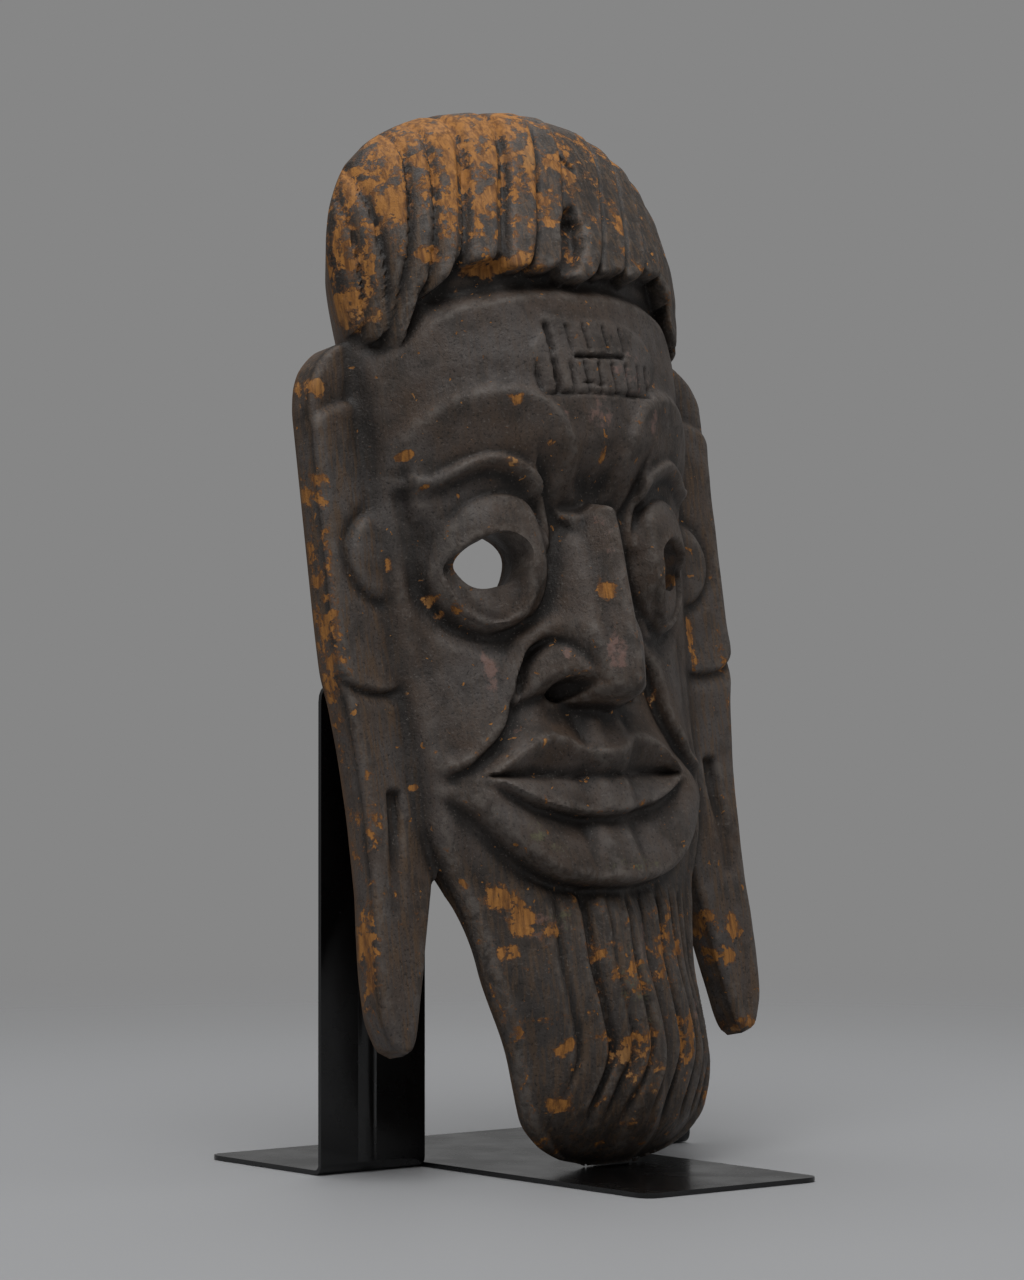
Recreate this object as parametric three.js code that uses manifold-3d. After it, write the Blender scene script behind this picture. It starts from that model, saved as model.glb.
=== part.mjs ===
// A carved wooden ritual mask with a cap of combed hair, long ear lobes and a flat beard, on its bent steel stand.
// Millimetres, +Z up, the face towards -Y. The mask leans back: its beard stands on the stand's tongue and the
// rim of its hollow back leans on the stand's top edge.
import * as THREE from 'three';
import { mergeVertices } from 'three/addons/utils/BufferGeometryUtils.js';
import Module from 'manifold-3d';

// Driving dimensions of the stand, a common 229 mm book support: one sheet with its tongue left flat.
const STAND = {
  height: 229, width: 228, leg: 61, sheet: 2.2, bend: 5, backPlate: 92, tongue: 161, windowTop: 159,
  corner: 9, ribWidth: 13, ribRise: 1.6, ribFromEdge: 27, ribTop: 214,
};
const GAP = 0.3;                       // clearance where the mask rests on the stand
const LEAN = THREE.MathUtils.degToRad(9.8);

// Driving dimensions of the mask. x runs across, h up the face, and depth D forward from the back of the ears.
const MASK = {
  halfSpan: 258, low: -8, high: 508,   // the square field that the front is worked out on
  earBack: 0, rimBack: -9, flankBack: 14, flankTaper: 15,
  wall: 15, holeRadius: 12, eyeX: 52.5, eyeH: 277,
  beardSway: 8.5,                      // the beard's lower end has moved this far to the right
  mouthShift: 6,                       // and the mouth sits this far to the left
};
const CELLS = 256;                     // cells of that field, and the error in mm that its facets may leave
const FRONT_TOLERANCE = 2.3;

// Half-width of the face, hair and beard at heights h.
const FACE_WIDTH = [
  [-4, 16], [0, 31], [8, 46], [20, 56], [42, 61], [60, 62], [82, 64], [108, 68], [125, 73], [142, 80],
  [160, 84], [200, 86], [250, 90], [300, 94], [350, 96], [385, 97], [400, 100], [430, 103], [448, 100],
  [462, 94.5], [476, 85.5], [487, 72], [495, 57], [500, 43], [503.5, 26], [505, 6],
];
// Half-width of the ears over their outer edge, and of the lobes at their inner edge.
const EAR_OUTER = [
  [53, 104], [56, 110], [61, 113], [73, 116.5], [90, 117], [110, 116], [132, 114.5], [156, 114.5],
  [184, 115.5], [216, 118.5], [234, 121.5], [263, 122], [353, 122], [365, 120.5], [374, 117], [381, 111],
  [386, 104], [389, 95],
];
const LOBE_INNER = [
  [53, 104], [56, 100], [62, 97], [76, 93.5], [92, 89.5], [112, 85], [130, 80.5], [143, 77],
];
// Depth of the face on its middle line, without the nose, and at its edge.
const MIDDLE_DEPTH = [
  [-4, 20], [0, 27], [4, 34], [15, 45], [30, 52], [50, 56], [75, 58], [100, 56], [125, 54], [150, 57],
  [175, 61], [192, 60], [205, 57], [215, 56], [240, 59], [262, 62], [283, 64], [300, 66], [312, 69],
  [322, 73], [334, 78], [350, 79], [380, 77], [404, 74], [412, 76], [425, 75], [440, 72], [455, 68],
  [470, 63], [482, 57], [491, 51], [497, 44], [501, 36], [505, 20],
];
const EDGE_DEPTH = [[-4, 15], [10, 20], [40, 23], [80, 24], [110, 22], [140, 17], [180, 17]];
const NOSE_RIDGE = [
  [184, 0], [194, 50], [200, 60], [205, 68], [208, 78], [211, 84.5], [215, 87], [222, 87.5], [240, 86],
  [264, 83.5], [279, 82], [290, 80.5], [297, 79], [299, 76.5], [302, 67], [311, 36], [323, 0],
];
const NOSE_SLOPE = [[204, 0.9], [228, 0.95], [245, 1.1], [265, 1.22], [285, 1.5], [300, 2.2]];
// Back of the shell, which comes forward behind the beard and over the crown.
const BACK = [
  [-10, 12], [10, 17], [40, 22], [90, 22], [118, 17], [140, 6], [160, -3], [185, -8], [205, -9], [440, -9],
  [475, -4], [510, 6],
];
const HOLLOW = {
  depth: [
    [112, 16], [122, 22], [150, 29], [200, 36], [260, 40], [300, 42], [330, 54], [400, 58], [440, 50],
    [478, 22],
  ],
  bottom: 112, top: 478, rows: 22, columns: 14, behind: -16,
};

// Lines of the carving on one half of the face, given as x and h; the other half mirrors them.
const LINES = {
  browTop: [
    [92, 330], [87, 337], [78, 346], [67, 352.5], [54, 355], [42, 353.5], [32, 349], [24, 341], [17.5, 328],
    [13, 314], [9, 302],
  ],
  browLow: [
    [92, 322], [80, 318.5], [73, 320.5], [64, 324], [54, 325.5], [43, 322.5], [34, 316.5], [26, 309],
    [20, 301],
  ],
  lidCrest: [
    [92, 318], [82, 315], [77, 314.5], [70, 318], [63, 321], [54, 322.5], [43, 319], [34.5, 312.5],
    [29, 304], [26.5, 294], [26, 284],
  ],
  eyeOpening: [
    [73, 277], [66, 284.5], [59, 288], [52, 288.5], [45.5, 284.5], [41.5, 276], [40.5, 266], [41.5, 257],
    [45, 250.5], [52, 248], [60, 251], [67, 258], [71.5, 268],
  ],
  eyeRim: [
    [80, 296], [78, 284], [75, 270], [69, 257], [60, 248], [49, 243.5], [38, 244.5], [30.5, 251], [27, 262],
    [26, 276], [26.5, 290], [29, 302],
  ],
  noseWing: [
    [41, 216], [39.5, 224], [37, 231], [33, 236], [28, 238], [23, 236], [19, 231], [16, 224], [13.5, 216],
  ],
  noseEdge: [
    [46, 208], [41, 212], [36, 217], [30, 221.5], [24, 223], [19, 221], [15, 217], [11, 212.5], [5, 210],
    [0, 209.5], [-9, 212],
  ],
  cheekFold: [
    [28, 243], [39, 235], [44.5, 224], [47, 213], [50.5, 203], [57, 194.5], [64.5, 187.5], [71, 183],
    [78, 181], [86, 182.5], [94, 185.5],
  ],
  lipTop: [
    [66, 176.5], [55, 178], [47.5, 183], [41, 187.3], [34, 191], [26, 193], [19, 191.5], [10, 187],
    [0, 184.3], [-10, 187],
  ],
  mouth: [[70, 177.6], [55, 177], [42, 176.6], [26, 176], [10, 175], [0, 174.5], [-10, 175]],
  lipLow: [[66, 176.5], [55, 174], [46, 168.5], [36, 163.5], [24, 160.5], [12, 158], [0, 157], [-12, 158]],
  chinShelf: [
    [94, 183], [90, 180], [84, 173], [77, 168], [71, 163], [65, 155.5], [57, 146], [46, 136], [34, 129],
    [21, 125.5], [9, 123.8], [0, 123.3], [-10, 123.8],
  ],
  hairRim: [
    [112, 388], [98, 388.5], [88, 384], [82.5, 382], [79.5, 386], [77, 392], [73, 401], [67, 408],
    [62, 412], [53, 416], [43, 414.5], [32, 411], [22, 411], [11, 410], [0, 406.5], [-11, 410],
  ],
  forehead: [
    [98, 370], [86, 378], [77, 387], [68, 394], [56, 398], [40, 400.5], [22, 402], [0, 402.5], [-20, 402],
  ],
  earFold: [[134, 336], [125, 347], [115, 354], [103, 358], [86, 359]],
  earStep: [[128, 240], [121, 231], [115, 225.5], [106, 222.5], [96, 222], [88, 224], [81, 230]],
};
// Grooves between the locks of hair: places across at its rim and up on the crown, half-width and depth.
const HAIR_GROOVES = [
  [-96, -98, 3, 2], [-88, -90, 4, 3], [-82, -70, 3.5, 2.6], [-73, -59, 4, 3], [-61, -44, 5.5, 5],
  [-43.5, -25, 5.5, 5], [-28, -7, 3.5, 3], [-14, 7, 3.5, 1.6], [10, 35, 4, 3], [28, 52, 4, 3],
  [44, 68, 4, 3], [60, 82, 4, 3], [76, 93, 4, 3],
];
// Grooves between the strands of the beard, across its widest part.
const BEARD_GROOVES = [-34, -22, -12, 0, 12, 24, 36, 47, 57];
// The worn mark on the forehead: a low pad under two rows of plain upright strokes, with a slit between them.
const MARK = {
  pad: [
    [-34, 371], [-27, 384], [-23, 391], [-10, 388], [10, 389], [30, 386], [42, 376], [40, 362], [22, 355],
    [-8, 352], [-26, 357],
  ],
  strokes: [
    { places: [-24, -14, -4, 8, 19], from: 387, to: 374, half: 1.8, depth: 1.9 },
    { places: [-32, -23, -15, -7, 1, 10, 19, 28, 35], from: 367.5, to: 354, half: 1.8, depth: 2.2 },
  ],
  slit: { from: -11, to: 19, at: 371, half: 1.6, depth: 3 },
};

// Small mathematics
const clamp = (v, lo, hi) => Math.min(hi, Math.max(lo, v));
const lerp = (a, b, t) => a + (b - a) * t;
const ramp = (lo, hi, v) => {
  const t = clamp((v - lo) / (hi - lo), 0, 1);
  return t * t * (3 - 2 * t);
};
const higher = (a, b, blend) => 0.5 * (a + b + Math.hypot(a - b, blend));

// A smooth curve through [place, value] pairs that never overshoots them.
function curve(pairs) {
  const slope = pairs.slice(1).map(([x, y], i) => (y - pairs[i][1]) / (x - pairs[i][0]));
  const tangent = pairs.map((_, i) => {
    const before = slope[i - 1] ?? 0;
    const after = slope[i] ?? 0;
    return before * after <= 0 ? 0 : (2 * before * after) / (before + after);
  });
  return (v) => {
    const x = clamp(v, pairs[0][0], pairs.at(-1)[0]);
    let i = 0;
    while (i < pairs.length - 2 && x >= pairs[i + 1][0]) i += 1;
    const width = pairs[i + 1][0] - pairs[i][0];
    const t = (x - pairs[i][0]) / width;
    const s = 1 - t;
    return pairs[i][1] * (1 + 2 * t) * s * s + tangent[i] * width * t * s * s
      + pairs[i + 1][1] * t * t * (1 + 2 * s) - tangent[i + 1] * width * t * t * s;
  };
}

// Signed distance to a smooth line: positive on its left as it runs, or inside it where it is closed.
function distanceTo(points, closed = false) {
  const spline = new THREE.SplineCurve(points.map(([x, h]) => new THREE.Vector2(x, h)));
  if (closed) spline.points.push(spline.points[0]);
  const line = spline.getPoints((spline.points.length - 1) * 5);
  return (x, h) => {
    let best = Infinity;
    let side = 1;
    let inside = false;
    for (let i = 0; i + 1 < line.length; i += 1) {
      const a = line[i];
      const b = line[i + 1];
      const ex = b.x - a.x;
      const ey = b.y - a.y;
      const t = clamp(((x - a.x) * ex + (h - a.y) * ey) / (ex * ex + ey * ey), 0, 1);
      const gap = (x - a.x - t * ex) ** 2 + (h - a.y - t * ey) ** 2;
      if (gap < best) {
        best = gap;
        side = Math.sign(ex * (h - a.y) - ey * (x - a.x)) || 1;
      }
      if ((a.y > h) !== (b.y > h) && x < a.x + (ex * (h - a.y)) / ey) inside = !inside;
    }
    const distance = Math.sqrt(best);
    return closed ? (inside ? distance : -distance) : side * distance;
  };
}

const faceWidth = curve(FACE_WIDTH);
const earOuter = curve(EAR_OUTER);
const lobeInner = curve(LOBE_INNER);
const middleDepth = curve(MIDDLE_DEPTH);
const edgeDepth = curve(EDGE_DEPTH);
const noseRidge = curve(NOSE_RIDGE);
const noseSlope = curve(NOSE_SLOPE);
const backDepth = curve(BACK);
const hollowDepth = curve(HOLLOW.depth);
const sway = (h) => MASK.beardSway * ramp(92, 42, h);
const line = Object.fromEntries(Object.entries(LINES).map(([name, points]) => [
  name, distanceTo(points, name === 'eyeOpening'),
]));
const markPad = distanceTo([...MARK.pad].reverse(), true);

// Sections across the carved lines: [signed distance, rise].
const section = {
  browTop: curve([[-26, 0], [-12, 1.4], [-4, 3.2], [-1, 3.7], [1.5, 2.6], [5, 0.2], [10, -0.7], [18, 0]]),
  browLow: curve([[-30, -6.5], [-2.5, -6.5], [1.5, -3.5], [14, 0]]),
  lidCrest: curve([[-6, -1.5], [-3, 0.6], [-0.6, 4], [1, 4.4], [5, 0]]),
  bowl: curve([[-1, 0], [-0.2, 0.2], [1.2, 3.4], [4, 5.5], [14, 7.5]]),
  lowerLid: curve([[-9, 0], [-5, -2.4], [-1.2, 0.8], [0.4, 0.8], [1, 0]]),
  eyeRim: curve([[-10, 0], [-3.4, 0.8], [-0.8, 1.6], [0.6, 0.4], [3.2, -3], [7, -2.4], [13, 0]]),
  noseUnder: curve([[-16, -32], [-12, -25], [-4, -8.5], [-1, -2.6], [0, -0.9], [1.4, 0]]),
  noseWing: curve([[-7, 0], [-2.4, -0.6], [-0.2, -2.6], [0.8, -1.6], [3.4, 3], [8, 5], [16, 3.5]]),
  cheekFold: curve([[-18, 0], [-9, -2], [-3.6, -5.2], [-1.4, -3.6], [0.6, 1.6], [2.4, 2.4], [7, 1.2], [16, 0]]),
  aboveLip: curve([[0, 6], [0.8, 5.4], [5, 2.2], [13, 0]]),
  belowLip: curve([[-16, 0], [-7, -2.6], [-2.6, -4], [-0.6, 1.6], [0, 4.2]]),
  chinShelf: curve([[-16, 0], [-7, -2], [-2.4, -4], [-0.8, -0.6], [0.6, 8.4], [2.4, 10.2], [8, 9.2], [22, 3], [36, 0]]),
  hairRim: curve([[0, 3], [3, 3.6], [14, 2.5], [40, 0]]),
  earFold: curve([[-16, 0], [-6, -1.4], [-2, -1.8], [0.6, 0], [3, 0.9], [10, 0.3], [30, 0]]),
  tragus: curve([[-8, 0], [-3, -1.4], [-1, -2], [0.4, 0.6], [2.5, 2.4], [6, 3]]),
  earStep: curve([[-22, 0], [-8, 0.8], [-1, 1.2], [0.2, 0.2], [1.2, -2.6], [4, -1.4], [10, 0]]),
  slot: curve([[0, 1], [2.2, 0.9], [4.2, 0.15], [5.5, 0]]),
};

// Locks of hair or beard: a groove at each place, with every lock tilted a little like a plank on its neighbour.
function locks(places, u, grooveDepth, grooveWidth, tilt) {
  let i = 0;
  while (i < places.length && u > places[i]) i += 1;
  const left = places[i - 1] ?? places[0] - 14;
  const right = places[i] ?? places.at(-1) + 14;
  const near = Math.min(Math.abs(u - left), Math.abs(u - right));
  return tilt * ((u - left) / (right - left) - 0.5) - grooveDepth * Math.exp(-((near / grooveWidth) ** 2));
}

function brow(a, h, zone) {
  const top = section.browTop(-line.browTop(a, h)) * ramp(296, 314, h);
  const socket = section.browLow(-line.browLow(a, h)) * ramp(-9, 0, line.eyeRim(a, h)) * ramp(5, 16, a);
  const crest = section.lidCrest(-line.lidCrest(a, h)) * ramp(272, 290, h);
  return zone * (top + socket + crest);
}

function eye(a, h, zone) {
  const ball = Math.hypot((a - 50.5) / 26, (h - 276.5) / 31.5);
  const opening = line.eyeOpening(a, h);
  const rim = section.eyeRim(line.eyeRim(a, h)) * lerp(0.35, 1, ramp(24, 36, a)) * ramp(290, 268, h);
  return zone * (10.5 * Math.max(0, 1 - ball * ball) ** 0.45 + rim)
    - section.bowl(opening) * lerp(0.6, 1.8, ramp(256, 284, h))
    + section.lowerLid(opening) * ramp(268, 258, h);
}

// The nose is a steep wedge, cut flat on top, with full wings and a hooked tip.
function nose(a, h, right) {
  const edge = -line.noseEdge(a, h);
  const reach = ramp(9, 16, a) * ramp(48, 41, a) * ramp(-9, -2, edge);
  const wing = section.noseWing(-line.noseWing(a, h)) * reach;
  const slope = noseSlope(h) * (right ? 1.3 : 1);
  return noseRidge(h) - slope * (Math.hypot(a, 1.4) - 1.4) + section.noseUnder(edge) + wing;
}

function nostril(a, h) {
  return 12 * ramp(1.12, 0.6, Math.hypot((a - 20.5) / 7, (h - 216) / 5.2));
}

function cheek(a, h, zone) {
  const bulge = Math.hypot((a - 62) / 24, (h - 219) / 32);
  const fold = zone * section.cheekFold(line.cheekFold(a, h)) * ramp(25, 37, a);
  return fold + 3.5 * Math.max(0, 1 - bulge * bulge) ** 1.2;
}

function lips(a, h) {
  const top = -line.lipTop(a, h);
  const middle = -line.mouth(a, h);
  const bottom = -line.lipLow(a, h);
  const fade = lerp(0.12, 1, ramp(61, 49, a));
  if (top > 0) return fade * section.aboveLip(top);
  if (middle > 0) return fade * lerp(6, -4.5, (top / (top - middle)) ** 1.15);
  if (bottom > 0) return fade * lerp(-5.5, 4.2, Math.sqrt(middle / (middle - bottom)));
  return fade * section.belowLip(bottom);
}

function chin(a, h, zone) {
  return zone * section.chinShelf(-line.chinShelf(a, h)) * lerp(1, 0.5, ramp(44, 78, a)) * ramp(192, 183, h);
}

function forehead(x, h) {
  const { strokes, slit } = MARK;
  let cut = slit.depth * ramp(slit.half, 0, Math.hypot(x - clamp(x, slit.from, slit.to), h - slit.at));
  for (const { places, from, to, half, depth } of strokes) {
    const off = h - clamp(h, to, from);
    const near = Math.min(...places.map((place) => Math.hypot(x - place, off)));
    cut = Math.max(cut, depth * ramp(half, 0, near));
  }
  return 1.2 * ramp(-2, 1.5, markPad(x, h)) - cut;
}

// The hair overhangs the forehead with a deep gap between them, and a knot has left an oval hole in it.
function hair(x, a, h) {
  const rim = -line.hairRim(a, h);
  const above = -line.forehead(a, h);
  const gap = 13 * ramp(-3, 8, above) * ramp(0.8, -0.8, rim) * ramp(366, 384, h) * ramp(1, 0.9, a / faceWidth(h));
  const rise = clamp((h - 415) / 60, -0.5, 1.5);
  const planks = locks(HAIR_GROOVES.map(([low, high]) => lerp(low, high, rise)), x, 0, 1, 2.6);
  const flutes = Math.max(...HAIR_GROOVES.map(([low, high, half, depth]) => (
    depth * ramp(half, half * 0.35, Math.abs(x - lerp(low, high, rise))))));
  const knot = 8 * ramp(1.1, 0.6, Math.hypot((x - lerp(-8, 12, rise)) / 8, (h - 428) / 18));
  const over = ramp(-0.4, 0.8, rim - 0.8 * flutes) * ramp(380, 386, h);
  return over * (section.hairRim(rim) + planks - flutes - knot) - gap;
}

function beard(x, w, h) {
  const u = (x * 66) / w;
  return locks(BEARD_GROOVES, u, 2.6, 2.8, 2) * ramp(-42, -32, u) * ramp(120, 108, h) * ramp(8, 20, h);
}

function ear(x, a, h) {
  const raise = x > 0 ? 9 : 0;         // the right ear's cuts sit a little higher
  const fold = section.earFold(line.earFold(a, h)) * ramp(318, 335, h);
  const tragus = section.tragus(19 * (1 - Math.hypot((a - 92) / 18, (h - 285) / 20.5)));
  const step = section.earStep(line.earStep(a, h - raise)) * ramp(206, 212, h) * ramp(260, 244, h);
  const down = h - 1.5 * raise;
  const slotX = lerp(98, 103, ramp(176, 118, down));
  const slot = section.slot(Math.abs(a - slotX)) * ramp(176.5, 173, down) * ramp(115, 121, down);
  const outer = clamp(earOuter(h) - a, 0, 5);
  const inner = h < 150 ? clamp(a - lobeInner(h), 0, 4) : 4;
  const roundedOuter = 0.8 * (5 - Math.sqrt(25 - (5 - outer) ** 2));
  const roundedInner = 0.9 * (4 - Math.sqrt(16 - (4 - inner) ** 2)) * ramp(160, 140, h);
  const slotDepth = slot * lerp(1.2, 5.5, ramp(130, 176, down));
  return 17 - ramp(120, 60, h) + fold + tragus + step - slotDepth - roundedOuter - roundedInner;
}

// Depth of the front surface at x, h.
function front(across, h) {
  const x = clamp(across, -128, 128) - sway(h) * ramp(88, 74, Math.abs(across));
  const a = Math.abs(x);
  const w = faceWidth(h);
  const onFace = a < w + (h < 143 ? 3 : 0);
  if (!onFace && h < 390) return ear(x, a, h);
  const t = Math.min(1, a / w);
  const full = ramp(235, 190, h) * (x > 0 ? 0.5 : 1);
  const low = edgeDepth(h);
  const dome = Math.max(0, 1 - t ** lerp(2, 2.8, full)) ** lerp(0.75, 0.6, full);
  const zone = ramp(1, 0.86, t);
  let depth = low + (middleDepth(h) - low) * dome - 7 * ramp(24, 10, a) * ramp(296, 302, h) * ramp(326, 308, h);
  if (h < 400) depth += brow(a, h, zone) + eye(a, h, zone);
  if (h < 340 && h > 180) depth = higher(depth, nose(a, h, x > 0), 1.6) - nostril(a, h);
  if (h < 270 && h > 160) depth += cheek(a, h, zone);
  if (h < 215 && h > 140) depth += lips(Math.abs(x + MASK.mouthShift), h);
  if (h < 200) depth += chin(a, h, zone);
  if (h > 340) depth += forehead(x, h) * ramp(1, 0.8, t) + hair(x, a, h);
  if (h < 130) depth += beard(x, w, h);
  return h > 132 ? Math.max(depth, 17) : depth;
}

// A block whose front follows a height field, with right triangles halved only where the field needs them:
// long ones at a small error and short ones only at a larger one.
function reliefBlock(height, cells, tolerance, floor) {
  const { halfSpan, low, high } = MASK;
  const xAt = (i) => lerp(-halfSpan, halfSpan, i / cells);
  const hAt = (j) => lerp(low, high, j / cells);
  const size = cells + 1;
  const field = new Float32Array(size * size);
  const error = new Float32Array(size * size);
  for (let j = 0; j < size; j += 1) {
    for (let i = 0; i < size; i += 1) field[j * size + i] = height(xAt(i), hAt(j));
  }
  const at = (grid, i, j) => (i < 0 || j < 0 || i > cells || j > cells ? 0 : grid[j * size + i]);
  const measure = (i, j, di, dj, children) => {
    const own = Math.abs((at(field, i - di, j - dj) + at(field, i + di, j + dj)) / 2 - at(field, i, j));
    const weighted = own * Math.sqrt(Math.hypot(di, dj) / 2);
    error[j * size + i] = Math.max(weighted, ...children.map(([ci, cj]) => at(error, i + ci, j + cj)));
  };
  for (let step = 2; step <= cells; step *= 2) {
    const half = step / 2;
    const q = half / 2;
    const corners = half > 1 ? [[q, q], [-q, q], [q, -q], [-q, -q]] : [];
    for (let j = 0; j <= cells; j += half) {
      for (let i = 0; i <= cells; i += half) {
        const oddI = (i / half) % 2;
        if (oddI !== (j / half) % 2) measure(i, j, oddI ? half : 0, oddI ? 0 : half, corners);
      }
    }
    for (let j = half; j < cells; j += step) {
      for (let i = half; i < cells; i += step) {
        const turn = ((i - half) / step + (j - half) / step) % 2 ? -1 : 1;
        measure(i, j, half, turn * half, [[half, 0], [-half, 0], [0, half], [0, -half]]);
      }
    }
  }
  const ids = new Map();
  const positions = [];
  const triangles = [];
  const vertex = (i, j) => {
    const key = j * size + i;
    if (!ids.has(key)) {
      ids.set(key, ids.size);
      positions.push(xAt(i), -field[key], hAt(j));
    }
    return ids.get(key);
  };
  const halve = (ai, aj, bi, bj, ci, cj) => {
    const mi = (ai + bi) / 2;
    const mj = (aj + bj) / 2;
    if (Math.abs(ai - ci) + Math.abs(aj - cj) > 1 && error[mj * size + mi] > tolerance) {
      halve(ci, cj, ai, aj, mi, mj);
      halve(bi, bj, ci, cj, mi, mj);
    } else {
      triangles.push([vertex(ai, aj), vertex(bi, bj), vertex(ci, cj)]);
    }
  };
  halve(cells, cells, 0, 0, cells, 0);
  halve(0, 0, cells, cells, 0, cells);
  return closeBehind(positions, triangles, floor);
}

// Closes an open sheet with a wall back to a flat floor.
function closeBehind(positions, triangles, floor) {
  const open = new Map();
  for (const [a, b, c] of triangles) {
    for (const [p, q] of [[a, b], [b, c], [c, a]]) {
      if (!open.delete(`${q}_${p}`)) open.set(`${p}_${q}`, [p, q]);
    }
  }
  const floorId = new Map();
  const under = (p) => {
    if (!floorId.has(p)) {
      floorId.set(p, positions.length / 3);
      positions.push(positions[3 * p], -floor, positions[3 * p + 2]);
    }
    return floorId.get(p);
  };
  const edges = [...open.values()];
  for (const [p, q] of edges) triangles.push([q, p, under(p)], [q, under(p), under(q)]);
  const centre = positions.length / 3;
  positions.push(0, -floor, (MASK.low + MASK.high) / 2);
  for (const [p, q] of edges) triangles.push([under(q), under(p), centre]);
  const geometry = new THREE.BufferGeometry();
  geometry.setAttribute('position', new THREE.Float32BufferAttribute(positions, 3));
  geometry.setIndex(triangles.flat());
  return geometry;
}

// Solids in and out of the library that joins and cuts them
const wasm = await Module();
wasm.setup();

function solid(geometry) {
  const bare = geometry.clone();
  for (const name of Object.keys(bare.attributes)) if (name !== 'position') bare.deleteAttribute(name);
  const merged = mergeVertices(bare, 1e-4);
  return new wasm.Manifold(new wasm.Mesh({
    numProp: 3,
    vertProperties: new Float32Array(merged.attributes.position.array),
    triVerts: new Uint32Array(merged.index.array),
  }));
}

function geometryOf(manifold) {
  const mesh = manifold.getMesh();
  const geometry = new THREE.BufferGeometry();
  geometry.setAttribute('position', new THREE.Float32BufferAttribute(mesh.vertProperties, 3));
  geometry.setIndex([...mesh.triVerts]);
  return geometry;
}

// A prism along the depth, from an outline in x and h, between two depths.
function prism(outline, from, to) {
  const shape = new THREE.Shape(outline.map(([x, h]) => new THREE.Vector2(x, h)));
  const geometry = new THREE.ExtrudeGeometry(shape, { depth: to - from, bevelEnabled: false });
  return solid(geometry.rotateX(Math.PI / 2).translate(0, -from, 0));
}

const mirrorOutline = (half) => {
  const other = [...half].reverse().filter(([x]) => x > 0.01);
  return [...half, ...other.map(([x, h]) => [-x, h])];
};
const sample = (from, to, steps) => Array.from({ length: steps + 1 }, (_, i) => lerp(from, to, i / steps));

// Outline of the shell, drawn in by an inset.
function shellOutline(inset) {
  const crown = [477, 483, 488, 492, 496, 499, 502, 504, 505];
  const heights = [-3.6, -2.4, 0, 3, 7, 12, 18, ...sample(26, 470, 37), ...crown];
  const scale = 1 - inset / 103;
  const half = heights.map((h) => [faceWidth(h) * scale, h < 250 ? h : 250 + (h - 250) * (1 - inset / 255)]);
  return mirrorOutline(half).map(([x, h]) => [x + sway(h), h]);
}

// A ruled solid between two like outlines at two depths.
function loft(outlineA, depthA, outlineB, depthB) {
  const n = outlineA.length;
  const rings = [[outlineA, depthA], [outlineB, depthB]];
  const positions = rings.flatMap(([outline, depth]) => outline.flatMap(([x, h]) => [x, -depth, h]));
  const caps = THREE.ShapeUtils.triangulateShape(outlineA.map(([x, h]) => new THREE.Vector2(x, h)), []);
  const index = [];
  for (const [a, b, c] of caps) index.push(a, b, c, n + c, n + b, n + a);
  for (let i = 0; i < n; i += 1) {
    const j = (i + 1) % n;
    index.push(i, n + i, n + j, i, n + j, j);
  }
  const geometry = new THREE.BufferGeometry();
  geometry.setAttribute('position', new THREE.Float32BufferAttribute(positions, 3));
  geometry.setIndex(index);
  const made = solid(geometry);
  if (made.volume() > 0) return made;
  for (let i = 0; i < index.length; i += 3) [index[i], index[i + 1]] = [index[i + 1], index[i]];
  geometry.setIndex(index);
  return solid(geometry);
}

// The hollow at the back: a smooth bowl that follows the face at the wall's thickness.
function hollow() {
  const { bottom, top, rows, columns, behind } = HOLLOW;
  const positions = [];
  const grid = [];
  for (let r = 0; r <= rows; r += 1) {
    const v = r / rows;
    const h = lerp(bottom, top, 0.5 - 0.5 * Math.cos(Math.PI * v));
    const round = Math.sqrt(1 - Math.abs(2 * v - 1) ** 5);
    const half = Math.max(2, (faceWidth(h) - MASK.wall) * lerp(0.1, 1, round));
    const row = [];
    for (let c = 0; c <= columns; c += 1) {
      const t = -Math.cos((Math.PI * c) / columns);
      const depth = lerp(behind, lerp(behind, hollowDepth(h), round), Math.max(0, 1 - Math.abs(t) ** 3.2) ** 0.55);
      row.push(positions.length / 3);
      positions.push(half * t, -depth, h);
    }
    grid.push(row);
  }
  const index = [];
  for (let r = 0; r < rows; r += 1) {
    for (let c = 0; c < columns; c += 1) {
      const [p, q, s, t] = [grid[r][c], grid[r][c + 1], grid[r + 1][c + 1], grid[r + 1][c]];
      index.push(p, q, s, p, s, t);
    }
    const [p, q, s, t] = [grid[r][0], grid[r][columns], grid[r + 1][columns], grid[r + 1][0]];
    index.push(p, s, q, p, t, s);
  }
  for (let c = 1; c < columns; c += 1) {
    index.push(grid[0][0], grid[0][c + 1], grid[0][c]);
    index.push(grid[rows][0], grid[rows][c], grid[rows][c + 1]);
  }
  const geometry = new THREE.BufferGeometry();
  geometry.setAttribute('position', new THREE.Float32BufferAttribute(positions, 3));
  geometry.setIndex(index);
  return solid(geometry);
}

function earOutline() {
  const outerHeights = [
    53, 54, 56, 58.5, 61, 66, 73, 90, 110, 132, 156, 184, 205, 216, 225, 234, 263, 310, 353, 359, 365, 370,
    374, 378, 381, 384, 386, 388, 389,
  ];
  const outer = outerHeights.map((h) => [earOuter(h), h]);
  const inner = [389, 370, 340, 300, 260, 220, 180, 152].map((h) => [faceWidth(h) - 8, h]);
  const lobe = [143, 130, 112, 92, 76, 66, 62, 58.5, 56, 54].map((h) => [lobeInner(h), h]);
  return [...outer, ...inner, ...lobe];
}

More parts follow.
